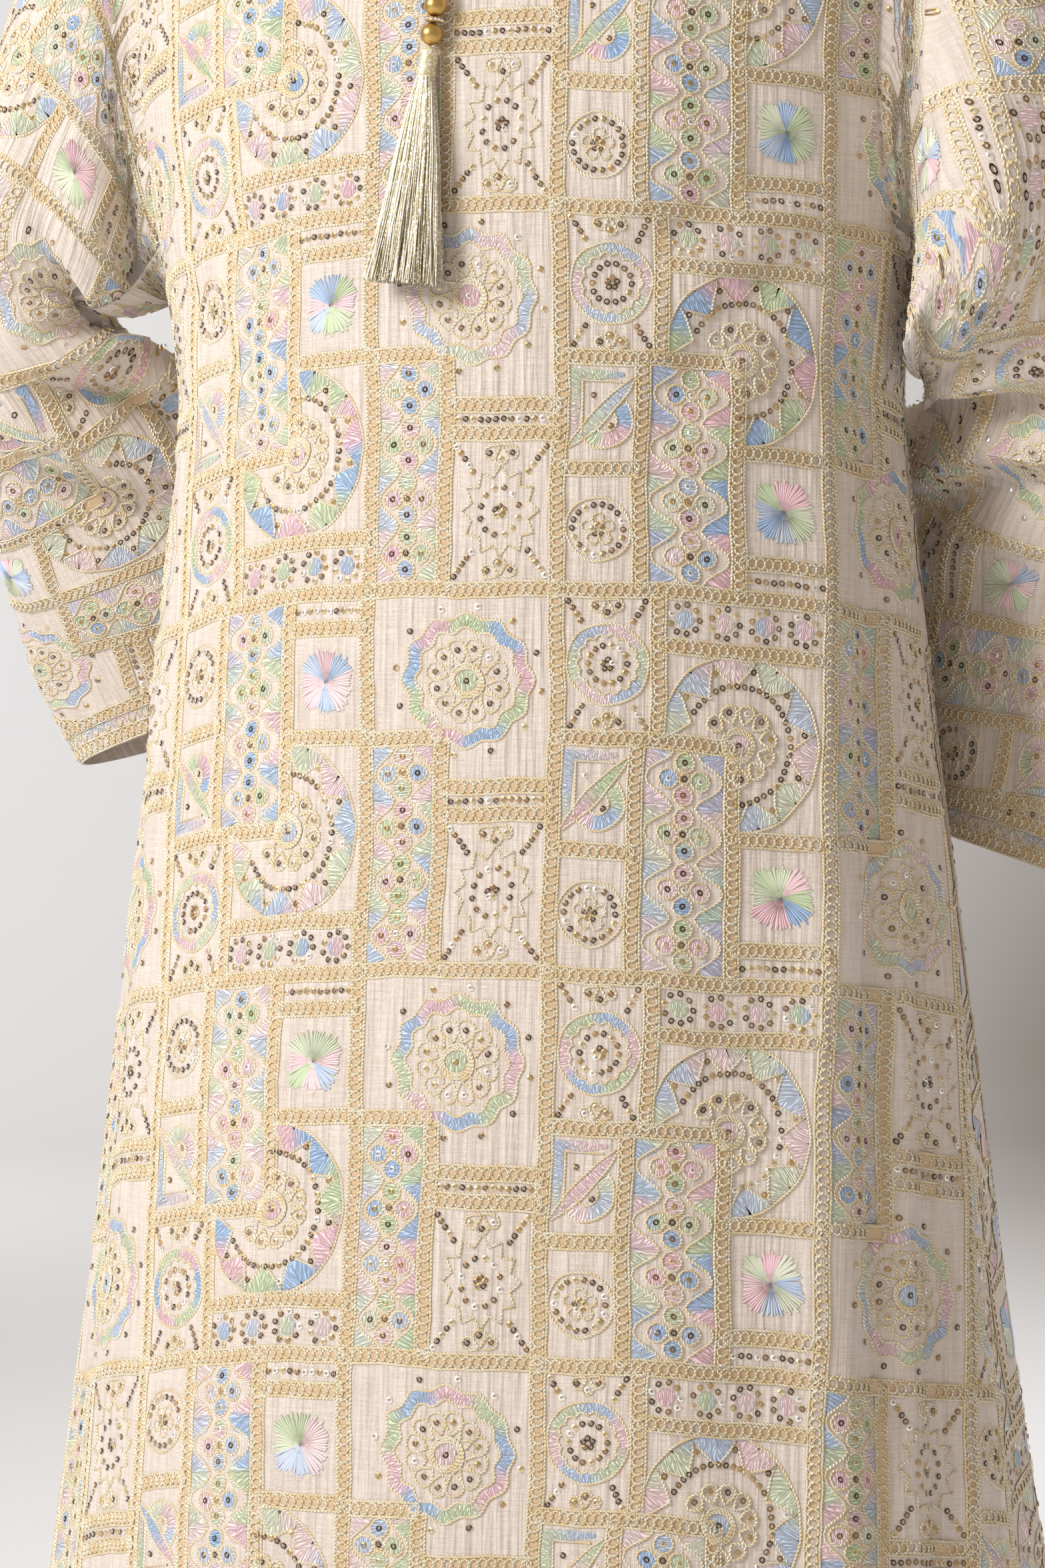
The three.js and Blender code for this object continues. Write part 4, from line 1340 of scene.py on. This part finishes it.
# %% Sun
def sun(work, u, v):
    """Three quarters of a sun: eight broad satin rays inside an outer cord, an arc of sequins, a
    crown of raised loops, and an eye with a thick ring of cord. A ray's depth rises and falls in
    straight lines, made fuller by a power below 1."""
    centre = (u, v)

    def ring(radius, start, sweep, count):
        return arc((0, 0), radius, start, sweep, count) * [0.97, 1.05] + [u, v]

    rays, ray_length = 8, 15.5
    first, sweep = -180, 270
    ray_ends, outer_cord, sequin_arc = 44.6, 45.2, 29.8
    crown_root, crown_sequin, crown_half = 11.8, 17.8, 0.95
    count = rays * 12 + 1
    step = np.linspace(0, rays, count)
    depth = np.maximum(ray_length * (1 - np.abs((step % 1) * 2 - 1)) ** 0.62, 0.2)
    work.ribbon("satin", ring(ray_ends - depth / 2, first, sweep, count), depth / 2, 0.2, 0.6,
                hue=step * 0.9)
    outline(work, ring(outer_cord, first, sweep, 62))
    outline(work, ring(44.0 - depth, first, sweep, count))
    between = sweep / rays
    work.sequins(ring(38.0, first + between, sweep - 2 * between, rays - 1))
    work.sequins(ring(sequin_arc, -152, 242, 30))
    loops = np.linspace(-142, 82, 8)
    crown = around(teardrop(9.6, 9.2), centre, crown_root, loops)
    work.ribbon("cord", crown, crown_half, 0.2, 1.5, True)
    work.sequins(ring_of(centre, crown_sequin, loops))
    winding(work, centre, 6.4, 9.6, 3.6)
    discs(work, [centre], 5.8, 0, 1.0)
    work.sequins([centre])


print("sun ready")

# %% [markdown]
# The small cells hold a fan with a leaf, a wheel of loops in a ring, a pinwheel of long stitches,
# and short rows of patches ringed with sequins.

# %% Fan, wheels and rings
def sequin_rings(work, centres):
    """Small satin patches, each ringed with sequins."""
    patch, sequin_ring = 5.0, 7.8
    centres = np.asarray(centres, float)
    discs(work, centres, patch, 0, np.arange(len(centres)) * 0.25)
    for centre in centres:
        work.sequins(arc(centre, sequin_ring, 0, 360, 9, False))


def fan(work, u, v):
    """A half-round fan beside a leaf, under an angle of satin."""
    bend = np.array([(u - 14.5, v + 14), (u - 14.5, v - 4), (u - 14.5, v - 21), (u - 1, v - 21),
                     (u + 12, v - 21)])
    work.ribbon("satin", bend, np.array([1.2, 2.8, 3.8, 2.8, 1.2]), 0.2, 0.5,
                hue=np.array([2.2, 2.8, 3, 3.6, 4.0]))
    outline(work, np.array([(u - 10.6, v + 12), (u - 10.6, v - 17), (u + 10, v - 17)]))
    share = np.linspace(0, 1, 9)
    leaf = straight((u - 17, v + 19), (u + 17, v - 19), 9)
    half = 0.2 + 3.4 * np.sin(pi * share) ** 0.9
    across_leaf = np.array([0.745, 0.667])
    work.ribbon("satin", leaf, half, 0.25, 0.6, hue=2.0 + share)
    for side in (-1, 1):
        outline(work, leaf + side * (half + 0.5)[:, None] * across_leaf)
    centre = (u + 2, v + 4)
    work.ribbon("satin", arc(centre, 10.6, -44, 186, 20), 4.0, 0.2, 0.6,
                hue=np.linspace(1, 3.2, 20))
    outline(work, arc(centre, 15.0, -46, 190, 22))
    outline(work, arc(centre, 6.2, -40, 180, 12))
    work.sequins([(u - 5, v - 10), (u + 5, v + 7)])


def ringed_wheel(work, u, v):
    """A thin round cord, a ring of sequins and a small wheel of loops."""
    rim, sequin_ring = 17.4, 13.6
    outline(work, arc((u, v), rim, 0, 360, 34, False), True)
    work.sequins(arc((u, v), sequin_ring, 0, 360, 18, False))
    outline(work, around(teardrop(8.2, 6.4, 8), (u, v), 0.8, np.arange(5) * 72 - 90), True)
    cluster(work, (u, v))


def pinwheel(work, u, v):
    """Eight tufts of long silk stitches that fan out from the middle to a ragged square edge. The
    square's radius at an angle is its half width over the larger of cosine and sine."""
    draw = np.random.default_rng(3)
    each = 8
    half_width = 16.6
    share = np.linspace(0, 1, 4)
    for tuft, hue in enumerate((0, 1, 2, 0, 1, 0, 2, 1)):
        angle = np.radians(tuft * 45 + np.linspace(-20, 20, each) + draw.normal(0, 1.0, each))
        square = 1 / np.maximum(np.abs(np.cos(angle)), np.abs(np.sin(angle)))
        reach = half_width * square**0.5 * draw.uniform(0.84, 1.06, each)
        near = np.where(np.arange(each) % 2, 4.5, 0.6)[:, None]
        away = near + (reach[:, None] - near) * share
        path = np.stack([u + away * np.cos(angle)[:, None], v + away * np.sin(angle)[:, None]], -1)
        half = 0.25 + 0.055 * away * np.array([1, 1, 0.95, 0.45])
        work.ribbon("satin", path, half, 0.15 + 0.1 * (tuft % 2), 0.7, hue=hue,
                    lengthwise=True, together=True)


print("small motifs ready")

# %% [markdown]
# ## One unit of the patchwork
#
# Bands are charted as straight runs from one place to another. The unit measures 256 by 206 mm,
# and its neighbours left and right are the same unit turned upside down.

# %% Chart of the unit
UNIT_WIDTH = 256.0
UNIT_HEIGHT = 206.0
BANDS = [
    (0, 0, 256, 0), (0, 0, 0, 206), (44, 80, 44, 206), (107, 0, 107, 206), (161, 0, 161, 80),
    (151, 80, 151, 206), (204, 78, 204, 206), (0, 80, 44, 80), (107, 80, 204, 80),
    (44, 107, 107, 107), (44, 122, 107, 122), (107, 140, 151, 140), (161, 29, 256, 29),
    (204, 128, 256, 128), (204, 187, 256, 187),
]


def patchwork(loop_sides, rounded):
    """The embroidery of one unit, with finer or plainer thread."""
    work = Needlework(loop_sides, rounded)
    for band in BANDS:
        ladder(work, *band)
    for left, right in ((4.5, 39.5), (155.5, 199.5)):
        lattice(work, left, 84.5, right, 201.5, 4)
    rosette(work, 58, 49)
    starburst(work, 75.5, 164)
    small_rosette(work, 134, 40)
    sun(work, 206, 78)
    sequin_rings(work, [(u, 14.5) for u in (175, 197, 219, 241)])
    fan(work, 129, 110)
    ringed_wheel(work, 129, 173)
    pinwheel(work, 230, 158)
    work.sequins(row_of((50, 114.5), (101, 114.5)))
    work.sequins(row_of((210, 196.5), (250, 196.5)))
    return {kind: work.merged(kind) for kind in work.KINDS}


fine_unit = patchwork(loop_sides=7, rounded=True)
plain_unit = patchwork(loop_sides=6, rounded=False)
for name, unit_work in (("fine", fine_unit), ("plain", plain_unit)):
    print(name, "unit:", {kind: 2 * len(part["quads"]) for kind, part in unit_work.items()})

# %% [markdown]
# ## Laying the patchwork on the cloth
#
# The unit is repeated over each flat piece, every second column upside down, and what falls off
# the cut edge is dropped, as it would be when the pieces are cut from embroidered cloth. The
# sleeves were cut sideways, so the patchwork's rows run down the arm. Chance picks the colours of
# each silk patch and ring.

# %% Colours of silk and sequins
SILKS = np.array([paint(*rgb)[:3] for rgb in (
    (166, 198, 238), (248, 204, 213), (208, 224, 182), (166, 198, 238),
)])
SILK_LIGHT = np.array(paint(250, 244, 236)[:3])
# Bronze and gold foils from dark to pale, partly their own colours and partly painted reflection of
# sequins leaning at random to the light; the near-white last one is a painted glint.
SEQUIN_FOILS_AND_GLINTS = np.array([paint(*rgb)[:3] for rgb in (
    (78, 55, 28), (132, 98, 50), (190, 152, 84), (232, 206, 148), (255, 252, 246),
)])
SEQUIN_SHARES = [0.34, 0.24, 0.2, 0.13, 0.09]
PIECE_LIMIT = 95_000
SILK_CHANGE = 0.3
SHAKE = 0.3
LARGEST_MISS = 0.2


def silk_colours(hue, number, seed):
    """Silk that changes between blue, pink and green over a short stretch, and is shifted by
    chance from one stitched patch to the next."""
    draw = np.random.default_rng(seed)
    count = number.max() + 1
    shift = draw.integers(0, 3, count) + draw.normal(0, 0.18, count)
    pale = draw.uniform(0.0, 0.5, count)[number][:, None]
    place = (hue + shift[number]) % 3
    whole = np.floor(place)
    place = whole + np.clip((place - whole - 0.5) / SILK_CHANGE + 0.5, 0, 1)
    colour = np.stack([np.interp(place, np.arange(4), SILKS[:, k]) for k in range(3)], -1)
    return colour * (1 - pale) + SILK_LIGHT * pale


def sequin_colours(number, seed):
    """A colour for each sequin, drawn by the share that each has: foils and near-white painted glints.
    """
    draw = np.random.default_rng(seed)
    return SEQUIN_FOILS_AND_GLINTS[draw.choice(len(SEQUIN_FOILS_AND_GLINTS), number.max() + 1, p=SEQUIN_SHARES)][number]


def lay(cloth, unit_work, copies, wander):
    """Places copies of a unit on the cloth. A copy is a function from u and v to p and q, with
    whether it is mirrored, and its lines shake a little as those of a hand-guided needle do.
    Returns, for each kind, points, quads, flat coordinates and tints."""
    laid = {kind: [] for kind in Needlework.KINDS}
    edge = cloth.p[:, [0, -1]]
    for seed, (carry, mirrored) in enumerate(copies):
        shake = np.random.default_rng(seed + 50).uniform(0, 2 * pi, 2)
        for kind, part in unit_work.items():
            u, v = part["place"].T
            u, v = u + SHAKE * np.sin(v / 3.3 + shake[0]), v + SHAKE * np.sin(u / 3.1 + shake[1])
            p, q = carry(u, v)
            near = (p > edge.min()) & (p < edge.max()) & (q > cloth.q.min()) & (q < cloth.q.max())
            if not near.any():
                continue
            p, q = wander(p, q)
            points, miss = cloth.place(p, q, part["height"])
            kept = ((miss < LARGEST_MISS) & near)[part["quads"]].all(axis=1)
            if not kept.any():
                continue
            quads = part["quads"][kept]
            quads = quads[:, ::-1] if mirrored else quads
            used, corners = np.unique(quads, return_inverse=True)
            if kind == "satin":
                tint = silk_colours(part["hue"][used], part["number"][used], seed * 7 + 1)
            else:
                tint = sequin_colours(part["number"][used], seed * 7 + 2)
            laid[kind].append((points[used], corners.reshape(-1, 4), part["flat"][used], tint))
    return laid


THREADS = {
    "chain": (cord_material, "cord"), "cord": (cord_material, "cord"),
    "satin": (satin_material, "cloth"), "edging": (shaded_ground_material, "cord"),
    "sequin": (sequin_material, "gold"),
}


def embroidery_objects(cloth, laid):
    """Objects of each kind of thread on a piece of cloth, none larger than the limit in quads."""
    made = []
    for kind, parts in laid.items():
        material, slot = THREADS[kind]
        group, size = [], 0
        for k, part in enumerate(parts):
            group.append(part)
            size += len(part[1])
            if k + 1 < len(parts) and size + len(parts[k + 1][1]) <= PIECE_LIMIT:
                continue
            points, quads, flat = joined([piece[:3] for piece in group])
            tint = np.concatenate([piece[3] for piece in group])
            tint = tint if kind in ("satin", "sequin") else None
            name = f"{cloth.name}_{kind}_{len(made) + 1}"
            made.append(make_object(name, points, quads, material, flat, tint))
            group, size = [], 0
    return made


# %% Embroidery of the body
MAIN_COLUMN = -42.0
MAIN_ROW = 323.0
SAG_RIGHT_SIDE = 28.0
SAG_LEFT_SIDE = 16.0


def body_copies():
    """Units in columns and rows over a body panel; the columns beside the middle are mirrored."""
    copies = []
    for column in (-2, -1, 0, 1):
        for row in range(-2, 6):
            p0 = MAIN_COLUMN + UNIT_WIDTH * column
            q0 = MAIN_ROW + UNIT_HEIGHT * row
            upside_down = column % 2 == 1

            def carry(u, v, p0=p0, q0=q0, upside_down=upside_down):
                return p0 + u, q0 + (UNIT_HEIGHT - v if upside_down else v)

            copies.append((carry, upside_down))
    return copies


def body_wander(p, q):
    """Lines across the cloth hang lower at the sides, and all lines waver a little."""
    sag = np.where(p < 0, SAG_RIGHT_SIDE * (p / 250) ** 2, SAG_LEFT_SIDE * (p / 260) ** 2)
    return (p + 0.9 * np.sin(q / 31.0 + p / 57.0) + 0.5 * np.sin(q / 13.0),
            q + sag + 0.9 * np.sin(p / 37.0 + q / 71.0) + 0.5 * np.sin(p / 11.0))


front_work = embroidery_objects(front, lay(front, fine_unit, body_copies(), body_wander))
back_work = embroidery_objects(back, lay(back, plain_unit, body_copies(), body_wander))
for pieces_made in (front_work, back_work):
    print({piece.name: 2 * len(piece.data.polygons) for piece in pieces_made})

# %% Embroidery of the sleeves
CUFF_BORDER = 22.0
ZIGZAG_PITCH = 9.0
OFF_CLOTH = 1e5
SLEEVE_TURN = {"right_sleeve_cloth": radians(98), "left_sleeve_cloth": radians(-82)}
SLEEVE_SHIFT = {"right_sleeve_cloth": (173.0, 172.0), "left_sleeve_cloth": (75.0, 105.0)}


def sleeve_copies(cloth):
    """Units over a sleeve that was cut sideways, so the patchwork's rows run down the arm. What
    would reach into the cuff's border is sent off the cloth, which drops it."""
    turn = SLEEVE_TURN[cloth.name]
    shift = SLEEVE_SHIFT[cloth.name]
    copies = []
    for column in range(-4, 5):
        for row in range(-4, 5):
            u0 = UNIT_WIDTH * column + shift[0]
            v0 = UNIT_HEIGHT * row + shift[1]
            upside_down = column % 2 == 1

            def carry(u, v, u0=u0, v0=v0, upside_down=upside_down):
                u = u + u0
                v = v0 + (UNIT_HEIGHT - v if upside_down else v)
                p = u * cos(turn) - v * sin(turn)
                q = u * sin(turn) + v * cos(turn)
                return p, np.where(q > cuff_level(cloth, p) - CUFF_BORDER, OFF_CLOTH, q)

            copies.append((carry, upside_down))
    return copies


def sleeve_wander(p, q):
    """All lines waver a little."""
    return p + 0.7 * np.sin(q / 29.0), q + 0.7 * np.sin(p / 33.0)


def cuff_level(cloth, p):
    """How far down the flat cloth the cuff's edge lies at each p."""
    return np.interp(p, cloth.p[-1], cloth.q[-1])


def cuff_border(cloth):
    """Two bands and a zigzag with satin triangles, drawn straight above the cuff's edge."""
    work = Needlework(6, True)
    first, last = cloth.p[-1, 0] + 1, cloth.p[-1, -1] - 1
    for level in (-21.0, -4.9):
        ladder(work, first, level, last, level)
    count = int((last - first) / ZIGZAG_PITCH)
    turns = np.arange(2 * count + 1)
    outline(work, np.stack([np.linspace(first, last, len(turns)), -15.5 + 6.0 * (turns % 2)], -1))
    quarters = np.arange(4 * count + 1)
    tooth = np.abs((quarters / 4) % 1 - 0.5) * 2
    height = np.maximum(2.9 * tooth, THINNEST)
    satin = np.stack([np.linspace(first, last, len(quarters)), height - 16.2], -1)
    work.ribbon("satin", satin, height, 0.2, 0.5, hue=quarters * 0.11)
    unit_work = {kind: work.merged(kind) for kind in work.KINDS if work.parts[kind]}
    return unit_work, [(lambda u, v: (u, v + cuff_level(cloth, u)), False)]


def no_wander(p, q):
    """Lines stay where they are."""
    return p, q


sleeve_work = {}
for cloth in (right_sleeve, left_sleeve):
    laid = lay(cloth, fine_unit, sleeve_copies(cloth), sleeve_wander)
    border = lay(cloth, *cuff_border(cloth), no_wander)
    for kind in laid:
        laid[kind] += border[kind]
    sleeve_work[cloth.name] = embroidery_objects(cloth, laid)
    print({piece.name: 2 * len(piece.data.polygons) for piece in sleeve_work[cloth.name]})

# %% [markdown]
# ## The cloth itself
#
# Each piece is one thin closed wall. Its flat size is stated as it was cut: the body panels widen
# to the hem, and the sleeves are cut to fit deep armholes.

# %% Cloth pieces
front_shell = front.shell(cloth_material)
back_shell = back.shell(cloth_material)
right_shell = right_sleeve.shell(cloth_material, wrapped=True)
left_shell = left_sleeve.shell(cloth_material, wrapped=True)


def flat_cut(cloth):
    """Flat width and length of a piece in metres, and its flat area in square metres, which is
    the sum of its cells' areas from their diagonals."""
    flat = np.stack([cloth.p, cloth.q], -1)
    first = flat[1:, 1:] - flat[:-1, :-1]
    second = flat[1:, :-1] - flat[:-1, 1:]
    area = np.abs(first[..., 0] * second[..., 1] - first[..., 1] * second[..., 0]).sum() / 2
    width = (cloth.p[:, -1] - cloth.p[:, 0]).max()
    return width * MM, (cloth.q.max() - cloth.q.min()) * MM, area * MM * MM


for cloth, shell, node, work in (
    (front, front_shell, "front_panel", front_work),
    (back, back_shell, "back_panel", back_work),
    (right_sleeve, right_shell, "sleeve_right", sleeve_work[right_sleeve.name]),
    (left_sleeve, left_shell, "sleeve_left", sleeve_work[left_sleeve.name]),
):
    width, length, area = flat_cut(cloth)
    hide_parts(node)
    min(area, width * length)
    print(cloth.name, "cut", round(width, 3), "by", round(length, 3), "m, area", round(area, 3))

# %% [markdown]
# ## Beads and tassel
#
# On the cord hang a small ring, a bead, a second ring and a second bead, turned in satin gold,
# with small cut stones set round the rings, and then the tassel: a bound head over a skirt of
# metallic threads. The skirt is several hundred thin strands. Hair curves would be quicker to lay
# but are not meshes, so each strand is a tube.

# %% Hanging pieces
TASSEL_TOP = np.array([0, -160, -206.6])
TASSEL_LEAN = radians(7.3)
TASSEL_TILT = radians(2.2)
BEAD_DIAMETER = 12.2
BEAD_HOLE = 2.6
BEAD_HEIGHT = (BEAD_DIAMETER**2 - BEAD_HOLE**2) ** 0.5
RING_DIAMETER = 9.4
RING_HEIGHT = 3.0
HEAD_HEIGHT = 17.0
HEAD_FOOT = 4.4
SKIRT_LENGTH = 112.0
SKIRT_HALF_WIDTH = 22.5
SKIRT_SHIFT = 2.4
SKIRT_HALF_DEPTH = 8.0
STRANDS = 740
STRAND_POINTS = 9
STRAND_DARK = np.array(paint(158, 145, 94)[:3])
STRAND_PALE = np.array(paint(240, 230, 208)[:3])
HEAD_TINT = paint(206, 194, 146)[:3]
STONES = 13


def hung(points):
    """Points of a hanging piece, leaned and tilted as the whole string of them hangs."""
    lean = np.array([[cos(TASSEL_LEAN), 0, sin(TASSEL_LEAN)], [0, 1, 0],
                     [-sin(TASSEL_LEAN), 0, cos(TASSEL_LEAN)]])
    tilt = np.array([[1, 0, 0], [0, cos(TASSEL_TILT), sin(TASSEL_TILT)],
                     [0, -sin(TASSEL_TILT), cos(TASSEL_TILT)]])
    return points @ (tilt @ lean).T + TASSEL_TOP


def turned(profile, sides, closed=True):
    """A lathed piece from radius and height pairs, its axis upright."""
    profile = np.array(profile, float)
    turn = np.linspace(0, 2 * pi, sides, endpoint=False)
    points = np.stack([profile[:, :1] * np.cos(turn), profile[:, :1] * np.sin(turn),
                       np.broadcast_to(profile[:, 1:], (len(profile), sides))], -1)
    index = np.arange(len(profile) * sides).reshape(len(profile), sides)
    below = np.roll(index, -1, 0) if closed else index[1:]
    above = index if closed else index[:-1]
    quads = np.stack([above, below, np.roll(below, -1, 1), np.roll(above, -1, 1)], -1)
    return points.reshape(-1, 3), quads.reshape(-1, 4)


def bead(top):
    """A ball with a straight hole down its middle."""
    end = np.arcsin(BEAD_HOLE / BEAD_DIAMETER)
    turn = np.linspace(end, pi - end, 17)
    radius = BEAD_DIAMETER / 2
    return turned(np.stack([radius * np.sin(turn),
                            top - BEAD_HEIGHT / 2 + radius * np.cos(turn)], -1), 40)


def spacer(top):
    """A flat ring with a round rim."""
    hole, radius = BEAD_HOLE / 2, RING_DIAMETER / 2
    turn = np.linspace(-pi / 2, pi / 2, 9)
    bulge = np.stack([radius - 1.5 + 1.5 * np.cos(turn), top - 1.5 - 1.5 * np.sin(turn)], -1)
    return turned([(hole, top), *bulge, (hole, top - RING_HEIGHT)], 32)


def stones(top):
    """Cut stones set round a spacer ring: each a short bead of six sides and four rings."""
    turn = np.linspace(0, 2 * pi, STONES, endpoint=False)
    centres = np.stack([RING_DIAMETER / 2 * np.cos(turn), RING_DIAMETER / 2 * np.sin(turn),
                        np.full(STONES, top - RING_HEIGHT / 2)], -1)
    points, quads = turned([(0.02, 0.95), (0.7, 0.6), (0.95, 0), (0.7, -0.6), (0.02, -0.95)], 6,
                           closed=False)
    whole = (centres[:, None] + points).reshape(-1, 3)
    return whole, (np.arange(STONES)[:, None, None] * len(points) + quads).reshape(-1, 4)


def strands(top):
    """The skirt: strands from the head's foot that spread and end unevenly, and their tints. Each
    strand goes straight out from its root, a little faster at first, with a slight ripple."""
    draw = np.random.default_rng(5)
    foot = top - HEAD_HEIGHT
    turn = draw.uniform(0, 2 * pi, STRANDS)
    share = draw.uniform(0.02, 1, STRANDS) ** 0.4
    drop = np.linspace(0, 1, STRAND_POINTS)[:, None]
    spread = drop**0.85
    ripple = 0.7 * np.sin(drop * draw.uniform(4, 12, STRANDS) + turn) * drop
    length = SKIRT_LENGTH - draw.exponential(1.6, STRANDS).clip(0, 9)
    x = np.cos(turn) * share * (HEAD_FOOT + (SKIRT_HALF_WIDTH - HEAD_FOOT) * spread) + ripple
    x = x + SKIRT_SHIFT * drop
    y = np.sin(turn) * share * (HEAD_FOOT + (SKIRT_HALF_DEPTH - HEAD_FOOT) * spread) + ripple
    z = foot + 1.5 - (length + 1.5) * drop
    line_points = np.stack([x, y, z], -1).transpose(1, 0, 2)
    radius = np.linspace(0.42, 0.32, STRAND_POINTS)
    lots = [tube(path, radius, 3) for path in line_points]
    tone = draw.uniform(0, 1, STRANDS)[:, None]
    tints = STRAND_DARK * (1 - tone) + STRAND_PALE * tone
    return joined(lots), np.repeat(tints, STRAND_POINTS * 3, axis=0)


def tassel_head(top):
    """The bound head, swelling under its top and tied near its foot with wound thread."""
    share = np.linspace(0, 1, 34)
    radius = np.interp(share, [0, 0.05, 0.16, 0.42, 0.72, 0.78, 0.82, 0.95, 1.0],
                       [0.3, 3.2, 4.6, 5.1, 4.7, 5.2, 5.3, 5.2, 4.8])
    radius = radius + 0.16 * np.cos(share * HEAD_HEIGHT * 2 * pi / 1.1)
    return turned(np.stack([radius, top - HEAD_HEIGHT * share], -1), 28, closed=False)


level = 0.0
for node, make, height in (
    ("ring_upper", spacer, RING_HEIGHT), ("bead_upper", bead, BEAD_HEIGHT),
    ("ring_lower", spacer, RING_HEIGHT), ("bead_lower", bead, BEAD_HEIGHT),
):
    points, quads = make(level)
    piece = make_object("gold_" + node, hung(points), quads, gold_material)
    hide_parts(node)
    if make is spacer:
        points, quads = stones(level)
        make_object("stones_" + node, hung(points), quads, stone_material, smooth=False)
    level -= height + SEAM_GAP

(skirt_points, skirt_quads, skirt_flat), skirt_tint = strands(level)
skirt = make_object("tassel_skirt", hung(skirt_points), skirt_quads, tassel_material,
                    skirt_flat, skirt_tint)
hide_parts("tassel")
head_points, head_quads = tassel_head(level)
head_tint = np.broadcast_to(HEAD_TINT, (len(head_points), 3))
head = make_object("tassel_head", hung(head_points), head_quads, tassel_material, None, head_tint)
print("tassel ends at", round(level - HEAD_HEIGHT - SKIRT_LENGTH), "mm below its top")

# %% [markdown]
# ## Studio
#
# The kaftan stands before a roll of pale paper that curves up far behind it, with one large soft
# light high on the left, a second one behind that only washes the paper, a weak one on the
# garment's back, and weak light from all round. A printed picture behind it would show the same
# tones from one side only; paper and lamps hold from every side.

# %% Floor and lights
WAIST = (0, 0, -0.6)
FLOOR_LEVEL = -1360.0
PAPER_HALF_WIDTH = 9000.0
PAPER_FRONT = -6500.0
PAPER_BACK = 6600.0
PAPER_CURVE = 900.0
PAPER_TOP = 7000.0
WORLD_COLOUR = paint(255, 244, 232)
WORLD_STRENGTH = 0.47


def paper():
    """A sheet that runs level, curves up on a quarter circle and goes on straight up."""
    turn = np.linspace(0, pi / 2, 17)
    away = np.concatenate([[PAPER_FRONT], PAPER_BACK + PAPER_CURVE * np.sin(turn),
                           [PAPER_BACK + PAPER_CURVE]])
    up = np.concatenate([[0], PAPER_CURVE * (1 - np.cos(turn)), [PAPER_TOP]]) + FLOOR_LEVEL
    side = np.array([-PAPER_HALF_WIDTH, PAPER_HALF_WIDTH])
    x = side * cos(AZIMUTH) - away[:, None] * sin(AZIMUTH)
    y = side * sin(AZIMUTH) + away[:, None] * cos(AZIMUTH)
    points = np.stack([x, y, np.broadcast_to(up[:, None], x.shape)], -1).reshape(-1, 3)
    row = np.arange(len(away) - 1)[:, None] * 2
    return points, row + [0, 1, 3, 2]


paper_points, paper_quads = paper()
mesh = bpy.data.meshes.new("paper")
mesh.from_pydata((paper_points * MM).tolist(), [], paper_quads.tolist())
mesh.polygons.foreach_set("use_smooth", np.ones(len(paper_quads), bool))
mesh.materials.append(floor_material)
backdrop = bpy.data.objects.new("paper", mesh)
bpy.context.scene.collection.objects.link(backdrop)


def soft_light(name, aside, height, ahead, size, power, target=WAIST):
    """A square light placed in the camera's own directions, in metres and watts."""
    data = bpy.data.lights.new(name, "AREA")
    data.size = size
    data.energy = power
    lamp = bpy.data.objects.new(name, data)
    place = across_view * aside + towards_camera * ahead + [0, 0, height]
    lamp.location = place
    aim = np.array(target) - place
    lamp.rotation_euler = (
        np.arccos(-aim[2] / np.linalg.norm(aim)), 0, np.arctan2(aim[1], aim[0]) - pi / 2)
    bpy.context.scene.collection.objects.link(lamp)


paper_left = across_view * -1.2 - towards_camera * 7.4 + [0, 0, -0.3]
soft_light("key", aside=-2.3, height=0.9, ahead=1.7, size=1.2, power=95)
soft_light("paper wash", aside=-2.2, height=0.9, ahead=-4.6, size=1.6, power=30, target=paper_left)
soft_light("back", aside=1.9, height=1.3, ahead=-2.6, size=1.6, power=42)
world = bpy.data.worlds.new("studio")
world.use_nodes = True
background = world.node_tree.nodes["Background"].inputs
background["Color"].default_value = WORLD_COLOUR
background["Strength"].default_value = WORLD_STRENGTH
bpy.context.scene.world = world
bpy.context.scene.view_settings.view_transform = "Standard"
print("studio ready")
